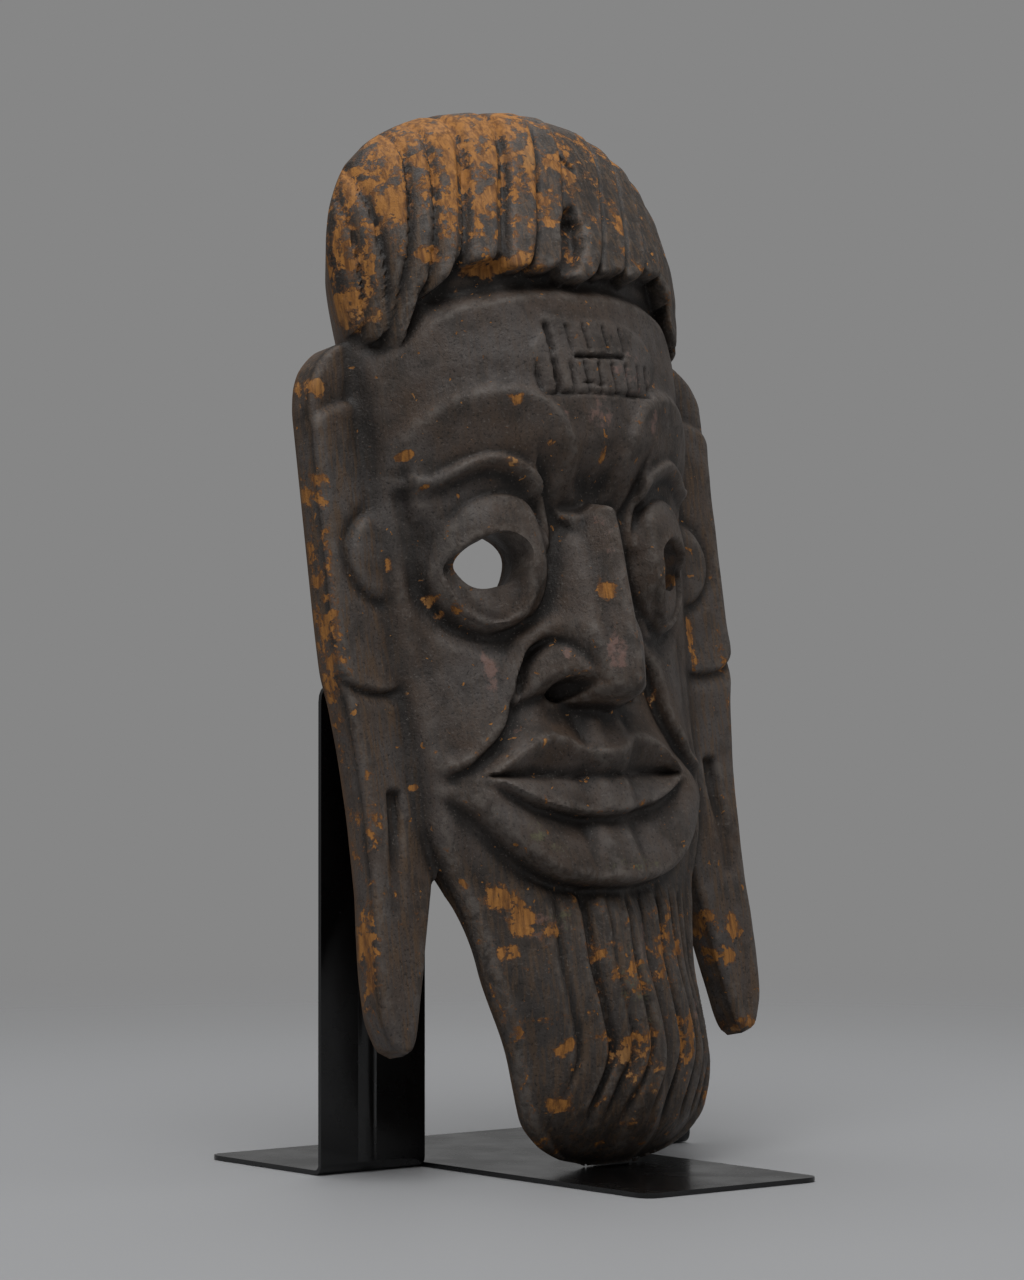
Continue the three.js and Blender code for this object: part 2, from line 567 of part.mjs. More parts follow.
function maskGeometry() {
  const { rimBack, flankBack, flankTaper, earBack, holeRadius, eyeX, eyeH } = MASK;
  const ahead = 120;
  const carved = solid(reliefBlock(front, CELLS, FRONT_TOLERANCE, -30));
  const full = shellOutline(0);
  const flank = loft(shellOutline(flankTaper), rimBack - 0.5, full, flankBack);
  const body = flank.add(prism(full, flankBack - 0.01, ahead));
  const backLine = sample(-10, 510, 40).map((h) => new THREE.Vector2(-backDepth(h), h));
  const behind = new THREE.Shape([...backLine, new THREE.Vector2(60, 510), new THREE.Vector2(60, -10)]);
  const cutter = new THREE.ExtrudeGeometry(behind, { depth: 2 * MASK.halfSpan, bevelEnabled: false });
  const turned = new THREE.Matrix4().makeBasis(
    new THREE.Vector3(0, 1, 0), new THREE.Vector3(0, 0, 1), new THREE.Vector3(1, 0, 0),
  );
  const shell = body.subtract(solid(cutter.applyMatrix4(turned).translate(-MASK.halfSpan, 0, 0)));
  const right = earOutline();
  const left = right.map(([x, h]) => [-x, h]).reverse();
  let wood = shell.add(prism(right, earBack, ahead)).add(prism(left, earBack, ahead)).intersect(carved);
  wood = wood.subtract(hollow());
  for (const side of [-1, 1]) {
    const hole = new THREE.CylinderGeometry(holeRadius + 3, holeRadius, 120, 20);
    wood = wood.subtract(solid(hole.translate(side * eyeX, 0, eyeH)));
  }
  return geometryOf(wood);
}

// The stand: a flat base with its tongue, an upright with a window, the bend between them and a rib on each leg.
function roundedOutline(points, radii) {
  const shape = new THREE.Shape();
  points.forEach(([x, y], i) => {
    const before = points.at(i - 1);
    const after = points[(i + 1) % points.length];
    const toward = ([px, py]) => {
      const reach = Math.hypot(px - x, py - y);
      return [x + ((px - x) * radii[i]) / reach, y + ((py - y) * radii[i]) / reach];
    };
    const start = toward(before);
    const end = toward(after);
    if (i === 0) shape.moveTo(...start);
    else shape.lineTo(...start);
    if (radii[i] > 0) shape.quadraticCurveTo(x, y, ...end);
  });
  shape.closePath();
  return shape;
}

function standGeometry() {
  const { height, width, leg, sheet, bend, backPlate, tongue, windowTop, corner } = STAND;
  const half = width / 2;
  const inner = half - leg;
  const base = new THREE.ExtrudeGeometry(roundedOutline([
    [inner, -tongue], [inner, bend], [half, bend], [half, backPlate], [-half, backPlate], [-half, bend],
    [-inner, bend], [-inner, -tongue],
  ], [corner, 0, 0, corner, corner, 0, 0, corner]), { depth: sheet, bevelEnabled: false, curveSegments: 5 });
  const uprightOutline = roundedOutline([
    [inner, bend], [half, bend], [half, height], [-half, height], [-half, bend], [-inner, bend],
    [-inner, windowTop], [inner, windowTop],
  ], [0, 0, corner, corner, 0, 0, 4, 4]);
  const upright = new THREE.ExtrudeGeometry(uprightOutline, { depth: sheet, bevelEnabled: false, curveSegments: 5 });
  upright.rotateX(Math.PI / 2).translate(0, sheet, 0);
  const bendShape = new THREE.Shape();
  bendShape.moveTo(0, bend);
  bendShape.absarc(bend, bend, bend, Math.PI, 1.5 * Math.PI, false);
  bendShape.lineTo(bend, sheet);
  bendShape.absarc(bend, bend, bend - sheet, 1.5 * Math.PI, Math.PI, true);
  const along = new THREE.Matrix4().makeBasis(
    new THREE.Vector3(0, 1, 0), new THREE.Vector3(0, 0, 1), new THREE.Vector3(1, 0, 0),
  );
  let metal = solid(base).add(solid(upright));
  for (const side of [-1, 1]) {
    const bent = new THREE.ExtrudeGeometry(bendShape, { depth: leg, bevelEnabled: false, curveSegments: 5 });
    bent.applyMatrix4(along).translate(side > 0 ? inner : -half, 0, 0);
    metal = metal.add(solid(bent)).add(rib(side));
  }
  return geometryOf(metal);
}

// An upright rib pressed out of one leg, with a rounded section.
function rib(side) {
  const { width, ribWidth, ribRise, ribFromEdge, ribTop, bend } = STAND;
  const section = new THREE.Shape();
  section.moveTo(-ribWidth / 2, 1);
  section.quadraticCurveTo(-ribWidth / 3, -ribRise, 0, -ribRise);
  section.quadraticCurveTo(ribWidth / 3, -ribRise, ribWidth / 2, 1);
  const geometry = new THREE.ExtrudeGeometry(section, { depth: ribTop - bend, bevelEnabled: false, curveSegments: 4 });
  return solid(geometry.translate(side * (width / 2 - ribFromEdge), 0, bend));
}

const paintedWood = new THREE.MeshStandardMaterial({ color: '#2b2521', roughness: 0.75, metalness: 0 });
const enamelledSteel = new THREE.MeshStandardMaterial({ color: '#141416', roughness: 0.35, metalness: 0.2 });

const mask = new THREE.Mesh(maskGeometry(), paintedWood);
mask.name = 'mask';
mask.rotation.x = -LEAN;
mask.updateMatrix();
const lowest = mask.geometry.clone().applyMatrix4(mask.matrix);
lowest.computeBoundingBox();
mask.position.z = STAND.sheet + GAP - lowest.boundingBox.min.z;
const reach = (STAND.height - mask.position.z) * Math.sin(LEAN) - MASK.rimBack + GAP;
mask.position.y = -reach / Math.cos(LEAN);

const stand = new THREE.Mesh(standGeometry(), enamelledSteel);
stand.name = 'stand';

const maskOnStand = new THREE.Group();
maskOnStand.add(stand, mask);
maskOnStand.position.y = (STAND.tongue - STAND.backPlate) / 2;

export default maskOnStand;
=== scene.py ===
"""Looks of a carved ritual mask of painted wood that leans on a bent steel stand.

The mask's front is one depth map, worked out from the carver's lines, and laid on a grid whose cells crowd
together where the carving is steep. The back is cut as the carver cuts it: a flat rim and a gouged hollow.
"""

import logging
import math
from dataclasses import dataclass, field
from enum import Enum
from functools import partial
from typing import Callable, Sequence

import bpy
import numpy as np
from mathutils import Matrix, Vector


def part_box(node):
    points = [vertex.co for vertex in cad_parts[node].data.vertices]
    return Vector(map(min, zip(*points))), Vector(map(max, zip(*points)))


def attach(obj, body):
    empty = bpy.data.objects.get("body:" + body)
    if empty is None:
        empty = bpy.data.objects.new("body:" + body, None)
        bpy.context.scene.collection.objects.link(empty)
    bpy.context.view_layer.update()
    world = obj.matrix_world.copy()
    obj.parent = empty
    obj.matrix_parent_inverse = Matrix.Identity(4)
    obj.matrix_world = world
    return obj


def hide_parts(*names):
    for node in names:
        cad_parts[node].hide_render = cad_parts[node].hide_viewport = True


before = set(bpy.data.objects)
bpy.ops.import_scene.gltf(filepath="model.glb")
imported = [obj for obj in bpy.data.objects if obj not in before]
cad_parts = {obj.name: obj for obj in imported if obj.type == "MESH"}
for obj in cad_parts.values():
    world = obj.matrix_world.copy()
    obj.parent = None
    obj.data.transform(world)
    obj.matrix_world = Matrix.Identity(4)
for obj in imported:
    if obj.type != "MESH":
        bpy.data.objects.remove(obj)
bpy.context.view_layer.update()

logging.basicConfig(level=logging.INFO, format="%(message)s")
log = logging.getLogger("mask")

MM = 0.001  # in metres
LEAN = math.radians(9.8)  # how far the mask leans back on its stand
Number = float | np.ndarray
Span = tuple[float, float]
Points = Sequence[tuple[float, float]]
Source = float | tuple[float, ...] | bpy.types.NodeSocket


# Small mathematics


def lerp(a: Number, b: Number, t: Number) -> Number:
    """Blend from a to b as t goes from 0 to 1."""
    return a + (b - a) * t


def ramp(low: float, high: float, value: Number) -> Number:
    """Smooth step from 0 at low to 1 at high."""
    t = np.clip((value - low) / (high - low), 0, 1)
    return t * t * (3 - 2 * t)


def higher(a: Number, b: Number, blend: float) -> Number:
    """The higher of two surfaces, with a soft join."""
    return 0.5 * (a + b + np.hypot(a - b, blend))


def between(grid: np.ndarray, i: np.ndarray, j: np.ndarray, s: np.ndarray, t: np.ndarray) -> np.ndarray:
    """Values of a grid at shares s across and t up from column i and row j to the next."""
    bottom = lerp(grid[j, i], grid[j, i + 1], s)
    return lerp(bottom, lerp(grid[j + 1, i], grid[j + 1, i + 1], s), t)


class Curve:
    """A smooth curve through points that never overshoots them."""

    def __init__(self, points: Points) -> None:
        """Keep the points and work out the slope at each.

        Args:
            points: Pairs of place and value, in rising order of place.
        """
        self.x, self.y = np.array(points, float).T
        rise = np.diff(self.y) / np.diff(self.x)
        both = rise[:-1] * rise[1:]
        total = np.where(rise[:-1] + rise[1:] == 0, 1, rise[:-1] + rise[1:])
        self.slope = np.concatenate([[0], np.where(both > 0, 2 * both / total, 0), [0]])

    def __call__(self, value: Number) -> np.ndarray:
        """Value of the curve at each place."""
        v = np.clip(value, self.x[0], self.x[-1])
        i = np.clip(np.searchsorted(self.x, v, side="right") - 1, 0, len(self.x) - 2)
        width = self.x[i + 1] - self.x[i]
        t = (v - self.x[i]) / width
        s = 1 - t
        start = self.y[i] * (1 + 2 * t) + self.slope[i] * width * t
        end = self.y[i + 1] * (1 + 2 * s) - self.slope[i + 1] * width * s
        return start * s * s + end * t * t


class Line:
    """A smooth carved line across the mask, which knows how far each point lies from it."""

    def __init__(self, points: Points, closed: bool = False, steps: int = 5) -> None:
        """Round the line off between its points.

        Args:
            points: Pairs of x and h in mm.
            closed: Whether the line comes back to its start.
            steps: Pieces between two points.
        """
        p = np.array(points, float)
        ends = (p[-1:], p[:2]) if closed else (2 * p[:1] - p[1:2], 2 * p[-1:] - p[-2:-1])
        q = np.vstack([ends[0], p, ends[1]])
        t = (np.arange(steps) / steps)[:, None]
        parts = [
            0.5 * (2 * b + (c - a) * t + (2 * a - 5 * b + 4 * c - d) * t**2 + (3 * b - a - 3 * c + d) * t**3)
            for a, b, c, d in zip(q[:-3], q[1:-2], q[2:-1], q[3:])
        ]
        self.path = np.vstack([*parts, p[:1] if closed else p[-1:]])
        self.closed = closed

    def __call__(self, x: np.ndarray, h: np.ndarray) -> np.ndarray:
        """Signed distance in mm: positive on the line's left, or inside a closed one."""
        best = np.full(x.shape, 1e9)
        side = np.ones(x.shape)
        inside = np.zeros(x.shape, bool)
        for (ax, ay), (bx, by) in zip(self.path[:-1], self.path[1:]):
            ex, ey = bx - ax, by - ay
            dx, dy = x - ax, h - ay
            t = np.clip((dx * ex + dy * ey) / max(ex * ex + ey * ey, 1e-9), 0, 1)
            gap = (dx - t * ex) ** 2 + (dy - t * ey) ** 2
            near = gap < best
            best = np.where(near, gap, best)
            side = np.where(near, np.sign(ex * dy - ey * dx), side)
            if self.closed and ay != by:
                inside ^= ((ay > h) != (by > h)) & (dx < ex * dy / ey)
        distance = np.sqrt(best)
        return np.where(inside, distance, -distance) if self.closed else side * distance


class Raster:
    """A fine raster over the front, x across and h up, in mm."""

    across: Span = (-128.0, 128.0)
    up: Span = (-6.0, 508.0)
    cells_start: Span = (-130.0, -10.0)
    cells_size: Span = (280.0, 540.0)

    def __init__(self, step: float = 0.5) -> None:
        """Lay out the raster.

        Args:
            step: Distance between samples in mm.
        """
        self.step = step
        self.x = np.arange(self.across[0], self.across[1] + step / 2, step)
        self.h = np.arange(self.up[0], self.up[1] + step / 2, step)
        self.gx, self.gh = np.meshgrid(self.x, self.h)

    def sample(self, values: np.ndarray, x: np.ndarray, h: np.ndarray) -> np.ndarray:
        """Values between the samples, at any places."""
        u = np.clip((x - self.across[0]) / self.step, 0, len(self.x) - 1.001)
        v = np.clip((h - self.up[0]) / self.step, 0, len(self.h) - 1.001)
        i, j = u.astype(int), v.astype(int)
        return between(values, i, j, u - i, v - j)

    def blur(self, values: np.ndarray, radius: float) -> np.ndarray:
        """Values softened over a radius in mm."""
        reach = int(math.ceil(2.5 * radius / self.step))
        kernel = np.exp(-0.5 * (np.arange(-reach, reach + 1) * self.step / radius) ** 2)
        kernel /= kernel.sum()
        for axis in (0, 1):
            pad = [(reach, reach) if a == axis else (0, 0) for a in (0, 1)]
            wide = np.pad(values, pad, mode="edge")
            size = values.shape[axis]
            values = sum(k * np.take(wide, range(n, n + size), axis=axis) for n, k in enumerate(kernel))
        return values

    def cells(self, width: float, height: float) -> tuple[np.ndarray, np.ndarray, tuple[int, int]]:
        """Lay cells of one size over the raster, for random values.

        Args:
            width: A cell's size along x in mm.
            height: Its size along h in mm.

        Returns:
            Each sample's place across and up, counted in cells, and the rows and columns of cells.
        """
        u = (self.gx - self.cells_start[0]) / width
        v = (self.gh - self.cells_start[1]) / height
        return u, v, (int(self.cells_size[1] / height) + 4, int(self.cells_size[0] / width) + 4)

    def noise(self, across: float, up: float, seed: int, layers: int = 3) -> np.ndarray:
        """Smooth random values between about -1 and 1.

        Args:
            across: Size of the largest features along x in mm.
            up: Their size along h in mm.
            seed: Fixed seed.
            layers: How many layers there are, each twice as fine as the last.

        Returns:
            One value for each sample.
        """
        rng = np.random.default_rng(seed)
        total = np.zeros_like(self.gx)
        for layer in range(layers):
            u, v, shape = self.cells(across / 2**layer, up / 2**layer)
            grid = rng.uniform(-1, 1, shape)
            i, j = u.astype(int), v.astype(int)
            total += between(grid, i, j, ramp(0, 1, u - i), ramp(0, 1, v - j)) / 1.7**layer
        return total

    def facets(self, width: float, length: float, seed: int) -> np.ndarray:
        """Shallow scoops side by side, as a gouge leaves them.

        Args:
            width: A scoop's width in mm.
            length: Its length in mm.
            seed: Fixed seed.

        Returns:
            One value for each sample: 0 on the scoops' edges and -1 at their middles.
        """
        u, v, shape = self.cells(width, length)
        shift = np.random.default_rng(seed).uniform(0.1, 0.9, (*shape, 2))
        best = np.full(u.shape, 9.0)
        for dj in (-1, 0, 1):
            for di in (-1, 0, 1):
                i, j = np.maximum(u.astype(int) + di, 0), np.maximum(v.astype(int) + dj, 0)
                gap = (u - i - shift[j, i, 0]) ** 2 + (v - j - shift[j, i, 1]) ** 2
                best = np.minimum(best, gap)
        return np.minimum(best, 0.6) / 0.6 - 1


@dataclass
class Outline:
    """The mask's silhouette and its main depths, in mm."""

    face_width: Points = (
        (-4, 16), (0, 31), (8, 46), (20, 56), (42, 61), (60, 62), (82, 64), (108, 68), (125, 73), (142, 80),
        (160, 84), (200, 86), (250, 90), (300, 94), (350, 96), (385, 97), (400, 100), (430, 103),
        (448, 100), (462, 94.5), (476, 85.5), (487, 72), (495, 57), (500, 43), (503.5, 26), (505, 6),
    )
    ear_outer: Points = (
        (53, 104), (56, 110), (61, 113), (73, 116.5), (90, 117), (110, 116), (132, 114.5), (156, 114.5),
        (184, 115.5), (216, 118.5), (234, 121.5), (263, 122), (353, 122), (365, 120.5), (374, 117),
        (381, 111), (386, 104), (389, 95),
    )
    lobe_inner: Points = (
        (53, 104), (56, 100), (62, 97), (76, 93.5), (92, 89.5), (112, 85), (130, 80.5), (143, 77),
    )
    middle: Points = (
        (-4, 20), (0, 27), (4, 34), (15, 45), (30, 52), (50, 56), (75, 58), (100, 56), (125, 54), (150, 57),
        (175, 61), (192, 60), (205, 57), (215, 56), (240, 59), (262, 62), (283, 64), (300, 66), (312, 69),
        (322, 73), (334, 78), (350, 79), (380, 77), (404, 74), (412, 76), (425, 75), (440, 72), (455, 68),
        (470, 63), (482, 57), (491, 51), (497, 44), (501, 36), (505, 20),
    )
    beard_sway: float = 8.5
    sway_heights: Span = (92, 42)
    sway_clear: Span = (88, 74)
    edge: Points = ((-4, 15), (10, 20), (40, 23), (80, 24), (110, 22), (140, 17), (180, 17))
    back: Points = (
        (-10, 12), (10, 17), (40, 22), (90, 22), (118, 17), (140, 6), (160, -3), (185, -8), (205, -9),
        (440, -9), (475, -4), (510, 6),
    )
    hollow: Points = (
        (112, 16), (122, 22), (150, 29), (200, 36), (260, 40), (300, 42), (330, 54), (400, 58), (440, 50),
        (478, 22),
    )

    def __post_init__(self) -> None:
        """Turn each table into a smooth curve."""
        for name in ("face_width", "ear_outer", "lobe_inner", "middle", "edge", "back", "hollow"):
            setattr(self, name, Curve(getattr(self, name)))

    def sway(self, h: np.ndarray) -> np.ndarray:
        """How far the beard's lower end has moved to the right."""
        return self.beard_sway * ramp(*self.sway_heights, h)

    def unswayed(self, x: np.ndarray, h: np.ndarray) -> np.ndarray:
        """Place across before the beard's end moved; the ears' lobes stay."""
        return x - self.sway(h) * ramp(*self.sway_clear, np.abs(x))


LINES: dict[str, Points] = {
    "brow_top": (
        (92, 330), (87, 337), (78, 346), (67, 352.5), (54, 355), (42, 353.5), (32, 349), (24, 341),
        (17.5, 328), (13, 314), (9, 302),
    ),
    "brow_low": (
        (92, 322), (80, 318.5), (73, 320.5), (64, 324), (54, 325.5), (43, 322.5), (34, 316.5), (26, 309),
        (20, 301),
    ),
    "lid_crest": (
        (92, 318), (82, 315), (77, 314.5), (70, 318), (63, 321), (54, 322.5), (43, 319), (34.5, 312.5),
        (29, 304), (26.5, 294), (26, 284),
    ),
    "eye_opening": (
        (73, 277), (66, 284.5), (59, 288), (52, 288.5), (45.5, 284.5), (41.5, 276), (40.5, 266),
        (41.5, 257), (45, 250.5), (52, 248), (60, 251), (67, 258), (71.5, 268),
    ),
    "eye_rim": (
        (80, 296), (78, 284), (75, 270), (69, 257), (60, 248), (49, 243.5), (38, 244.5), (30.5, 251),
        (27, 262), (26, 276), (26.5, 290), (29, 302),
    ),
    "nose_wing": (
        (41, 216), (39.5, 224), (37, 231), (33, 236), (28, 238), (23, 236), (19, 231), (16, 224),
        (13.5, 216),
    ),
    "nose_edge": (
        (46, 208), (41, 212), (36, 217), (30, 221.5), (24, 223), (19, 221), (15, 217), (11, 212.5),
        (5, 210), (0, 209.5), (-9, 212),
    ),
    "cheek_fold": (
        (28, 243), (39, 235), (44.5, 224), (47, 213), (50.5, 203), (57, 194.5), (64.5, 187.5), (71, 183),
        (78, 181), (86, 182.5), (94, 185.5),
    ),
    "lip_top": (
        (66, 176.5), (55, 178), (47.5, 183), (41, 187.3), (34, 191), (26, 193), (19, 191.5), (10, 187),
        (0, 184.3), (-10, 187),
    ),
    "mouth": ((70, 177.6), (55, 177), (42, 176.6), (26, 176), (10, 175), (0, 174.5), (-10, 175)),
    "lip_low": (
        (66, 176.5), (55, 174), (46, 168.5), (36, 163.5), (24, 160.5), (12, 158), (0, 157), (-12, 158),
    ),
    "chin_shelf": (
        (94, 183), (90, 180), (84, 173), (77, 168), (71, 163), (65, 155.5), (57, 146), (46, 136), (34, 129),
        (21, 125.5), (9, 123.8), (0, 123.3), (-10, 123.8),
    ),
    "hair_rim": (
        (112, 388), (98, 388.5), (88, 384), (82.5, 382), (79.5, 386), (77, 392), (73, 401), (67, 408),
        (62, 412), (53, 416), (43, 414.5), (32, 411), (22, 411), (11, 410), (0, 406.5), (-11, 410),
    ),
    "forehead": (
        (98, 370), (86, 378), (77, 387), (68, 394), (56, 398), (40, 400.5), (22, 402), (0, 402.5),
        (-20, 402),
    ),
    "ear_fold": ((134, 336), (125, 347), (115, 354), (103, 358), (86, 359)),
    "ear_step": ((128, 240), (121, 231), (115, 225.5), (106, 222.5), (96, 222), (88, 224), (81, 230)),
}
MOUTH_LINES = ("lip_top", "mouth", "lip_low")
MOUTH_SHIFT = 6.0
SECTIONS: dict[str, Points] = {
    "brow_top": ((-26, 0), (-12, 1.4), (-4, 3.2), (-1, 3.7), (1.5, 2.6), (5, 0.2), (10, -0.7), (18, 0)),
    "brow_low": ((-30, -6.5), (-2.5, -6.5), (1.5, -3.5), (14, 0)),
    "lid_crest": ((-6, -1.5), (-3, 0.6), (-0.6, 4), (1, 4.4), (5, 0)),
    "bowl": ((-1, 0), (-0.2, 0.2), (1.2, 3.4), (4, 5.5), (14, 7.5)),
    "lower_lid": ((-9, 0), (-5, -2.4), (-1.2, 0.8), (0.4, 0.8), (1, 0)),
    "eye_rim": ((-10, 0), (-3.4, 0.8), (-0.8, 1.6), (0.6, 0.4), (3.2, -3), (7, -2.4), (13, 0)),
    "nose_under": ((-16, -32), (-12, -25), (-4, -8.5), (-1, -2.6), (0, -0.9), (1.4, 0)),
    "nose_wing": ((-7, 0), (-2.4, -0.6), (-0.2, -2.6), (0.8, -1.6), (3.4, 3), (8, 5), (16, 3.5)),
    "cheek_fold": (
        (-18, 0), (-9, -2), (-3.6, -5.2), (-1.4, -3.6), (0.6, 1.6), (2.4, 2.4), (7, 1.2), (16, 0),
    ),
    "above_lip": ((0, 6), (0.8, 5.4), (5, 2.2), (13, 0)),
    "below_lip": ((-16, 0), (-7, -2.6), (-2.6, -4), (-0.6, 1.6), (0, 4.2)),
    "chin_shelf": (
        (-16, 0), (-7, -2), (-2.4, -4), (-0.8, -0.6), (0.6, 8.4), (2.4, 10.2), (8, 9.2), (22, 3), (36, 0),
    ),
    "hair_rim": ((0, 3), (3, 3.6), (14, 2.5), (40, 0)),
    "ear_fold": ((-16, 0), (-6, -1.4), (-2, -1.8), (0.6, 0), (3, 0.9), (10, 0.3), (30, 0)),
    "tragus": ((-8, 0), (-3, -1.4), (-1, -2), (0.4, 0.6), (2.5, 2.4), (6, 3)),
    "ear_step": ((-22, 0), (-8, 0.8), (-1, 1.2), (0.2, 0.2), (1.2, -2.6), (4, -1.4), (10, 0)),
    "slot": ((0, 1), (2.2, 0.9), (4.2, 0.15), (5.5, 0)),
}
NOSE_RIDGE: Points = (
    (184, 0), (194, 50), (200, 60), (205, 68), (208, 78), (211, 84.5), (215, 87), (222, 87.5), (240, 86),
    (264, 83.5), (279, 82), (290, 80.5), (297, 79), (299, 76.5), (302, 67), (311, 36), (323, 0),
)
NOSE_SLOPE: Points = ((204, 0.9), (228, 0.95), (245, 1.1), (265, 1.22), (285, 1.5), (300, 2.2))


@dataclass(frozen=True)
class Oval:
    """An oval place on the front: its middle and half-sizes in mm."""

    x: float
    h: float
    half_x: float
    half_h: float

    def reach(self, x: np.ndarray, h: np.ndarray) -> np.ndarray:
        """Distance of each place from the middle, which is 1 on the oval's edge."""
        return np.hypot((x - self.x) / self.half_x, (h - self.h) / self.half_h)


EYEBALL = Oval(50.5, 276.5, 26, 31.5)
NOSTRIL = Oval(20.5, 216, 7, 5.2)
CHEEK = Oval(62, 219, 24, 32)
TRAGUS = Oval(92, 285, 18, 20.5)
KNOT = Oval(0, 428, 7, 17)
KNOT_CORE = Oval(3, 437, 5, 7)

# Where each form starts and where it is full. Most rows are heights, or distances in mm from the middle or
# from the form's line. The last five are shares of the face's half-width or of an oval.
FADES: dict[str, Span] = {
    "full_cheeks": (235, 190), "root_across": (24, 10), "root_foot": (296, 302), "root_head": (326, 308),
    "fold_across": (25, 37), "lips_across": (61, 49), "shelf_across": (44, 78), "shelf_head": (192, 183),
    "brow_foot": (296, 314), "socket_edge": (-9, 0), "socket_across": (5, 16), "lid_foot": (272, 290),
    "rim_across": (24, 36), "rim_head": (290, 268), "bowl_rise": (250, 282), "lower_lid_head": (268, 258),
    "wing_inner": (9, 16), "wing_outer": (48, 41), "wing_edge": (-9, -2), "ear_fold_foot": (318, 335),
    "ear_step_foot": (206, 212), "ear_step_head": (260, 244), "slot_lean": (176, 118),
    "slot_head": (176.5, 173), "slot_foot": (115, 121), "slot_rise": (130, 176), "lobe_thins": (120, 60),
    "lobe_free": (160, 140), "seam_near": (7, 1), "seam_foot": (150, 162), "seam_head": (392, 380),
    "hair_edge": (-0.4, 0.8), "hair_foot": (380, 386), "band_low": (-3, 8), "band_high": (0.8, -0.8),
    "band_foot": (366, 384), "beard_edge": (1.0, -1.0), "beard_head": (150, 132), "notch_near": (3.5, 0.4),
    "notch_deep": (0.4, 2.4), "curl": (50, 14), "strands_side": (-46, -34), "strands_head": (126, 112),
    "strands_foot": (8, 26), "pad_edge": (-2, 1.5), "inside_rim": (1, 0.86), "band_side": (1, 0.9),
    "nostril": (1.12, 0.6), "knot": (1.15, 0.7), "knot_core": (0.5, 0.1),
}
BEARD_TOP = 132.0
JAW = 143.0
LOBE_TOP = 150.0
EAR_TOP = 390.0
HAIR_SPAN: Span = (415, 475)
BEARD_SPAN: Span = (20, 120)


def fade(name: str, value: np.ndarray) -> np.ndarray:
    """How full a form is at each place, by its row in the table above."""
    return ramp(*FADES[name], value)


def share(span: Span, value: np.ndarray) -> np.ndarray:
    """How far along a span each value is, 0 at its start and 1 at its end."""
    return (value - span[0]) / (span[1] - span[0])


def edge_drop(inset: np.ndarray, radius: float) -> np.ndarray:
    """How far a rounded edge has dropped at an inset from it, in mm."""
    return radius - np.sqrt(radius**2 - (radius - np.clip(inset, 0, radius)) ** 2)


@dataclass(frozen=True)
class Groove:
    """A groove between two locks: its place at its low and high ends, half-width and depth, in mm."""

    low: float
    high: float
    half: float
    depth: float


HAIR_GROOVES = tuple(Groove(*row) for row in (
    (-96, -98, 2.5, 1.6), (-88, -90, 3.5, 2.4), (-82, -70, 2.6, 2.2), (-73, -59, 3.2, 2.6),
    (-61, -44, 4.6, 4.2), (-43.5, -25, 4.6, 4.4), (-28, -7, 2.4, 2.4), (-14, 7, 2.2, 1.2),
    (10, 35, 2.8, 2.2), (28, 52, 3, 2.6), (44, 68, 2.6, 2.2), (60, 82, 3, 2.4), (76, 93, 2.8, 2.2),
))
BEARD_GROOVES = tuple(Groove(*row) for row in (
    (-37, -32, 3.4, 2.0), (-19, -17, 3.2, 3.2), (-10, -7, 2.0, 1.6), (-1, 5, 2.6, 2.4), (12, 17, 2.0, 1.5),
    (25, 31, 2.8, 2.6), (39, 42, 2.4, 2.2), (50, 50, 2.4, 2.2), (59, 57, 2.0, 1.6),
))


@dataclass(frozen=True)
class Cut:
    """A straight chisel cut between two places, with its half-width and depth, in mm."""

    x0: float
    h0: float
    x1: float
    h1: float
    half: float
    depth: float

    def across(self, x: np.ndarray, h: np.ndarray) -> np.ndarray:
        """Distance of each place from the cut's middle line."""
        dx, dh = self.x1 - self.x0, self.h1 - self.h0
        t = np.clip(((x - self.x0) * dx + (h - self.h0) * dh) / (dx * dx + dh * dh), 0, 1)
        return np.hypot(x - self.x0 - t * dx, h - self.h0 - t * dh)


MARK_PAD: Points = (
    (-34, 371), (-27, 384), (-23, 391), (-10, 388), (10, 389), (30, 386), (42, 376), (40, 362), (22, 355),
    (-8, 352), (-26, 357),
)
MARK_CUTS = (
    *(Cut(x, 387 - 0.08 * abs(x), x + 1.5, 374, 1.5, 1.9) for x in (-24, -14, -4, 8, 19)),
    *(Cut(x, 367.5, x + 1, 354, 1.4, 2.2) for x in (-32, -23, -15, -7, 1, 10, 19, 28, 35)),
    Cut(-24.5, 386, -22, 355, 2.2, 1.6),
    Cut(-11, 370.5, 19, 371.5, 1.3, 3.2),
    Cut(-30, 352.5, 36, 353.5, 1.2, 1.8),
)
CRACKS = (
    Cut(-2, 504, 8, 494, 1.0, 2.4),
    Cut(24, 503, 33, 494, 1.1, 3.0),
    Cut(28, 496, 40, 492, 0.8, 2.0),
    Cut(8, 473, 13, 467, 2.4, 2.6),
    Cut(-9, 358, 2, 357, 0.8, 2.2),
)


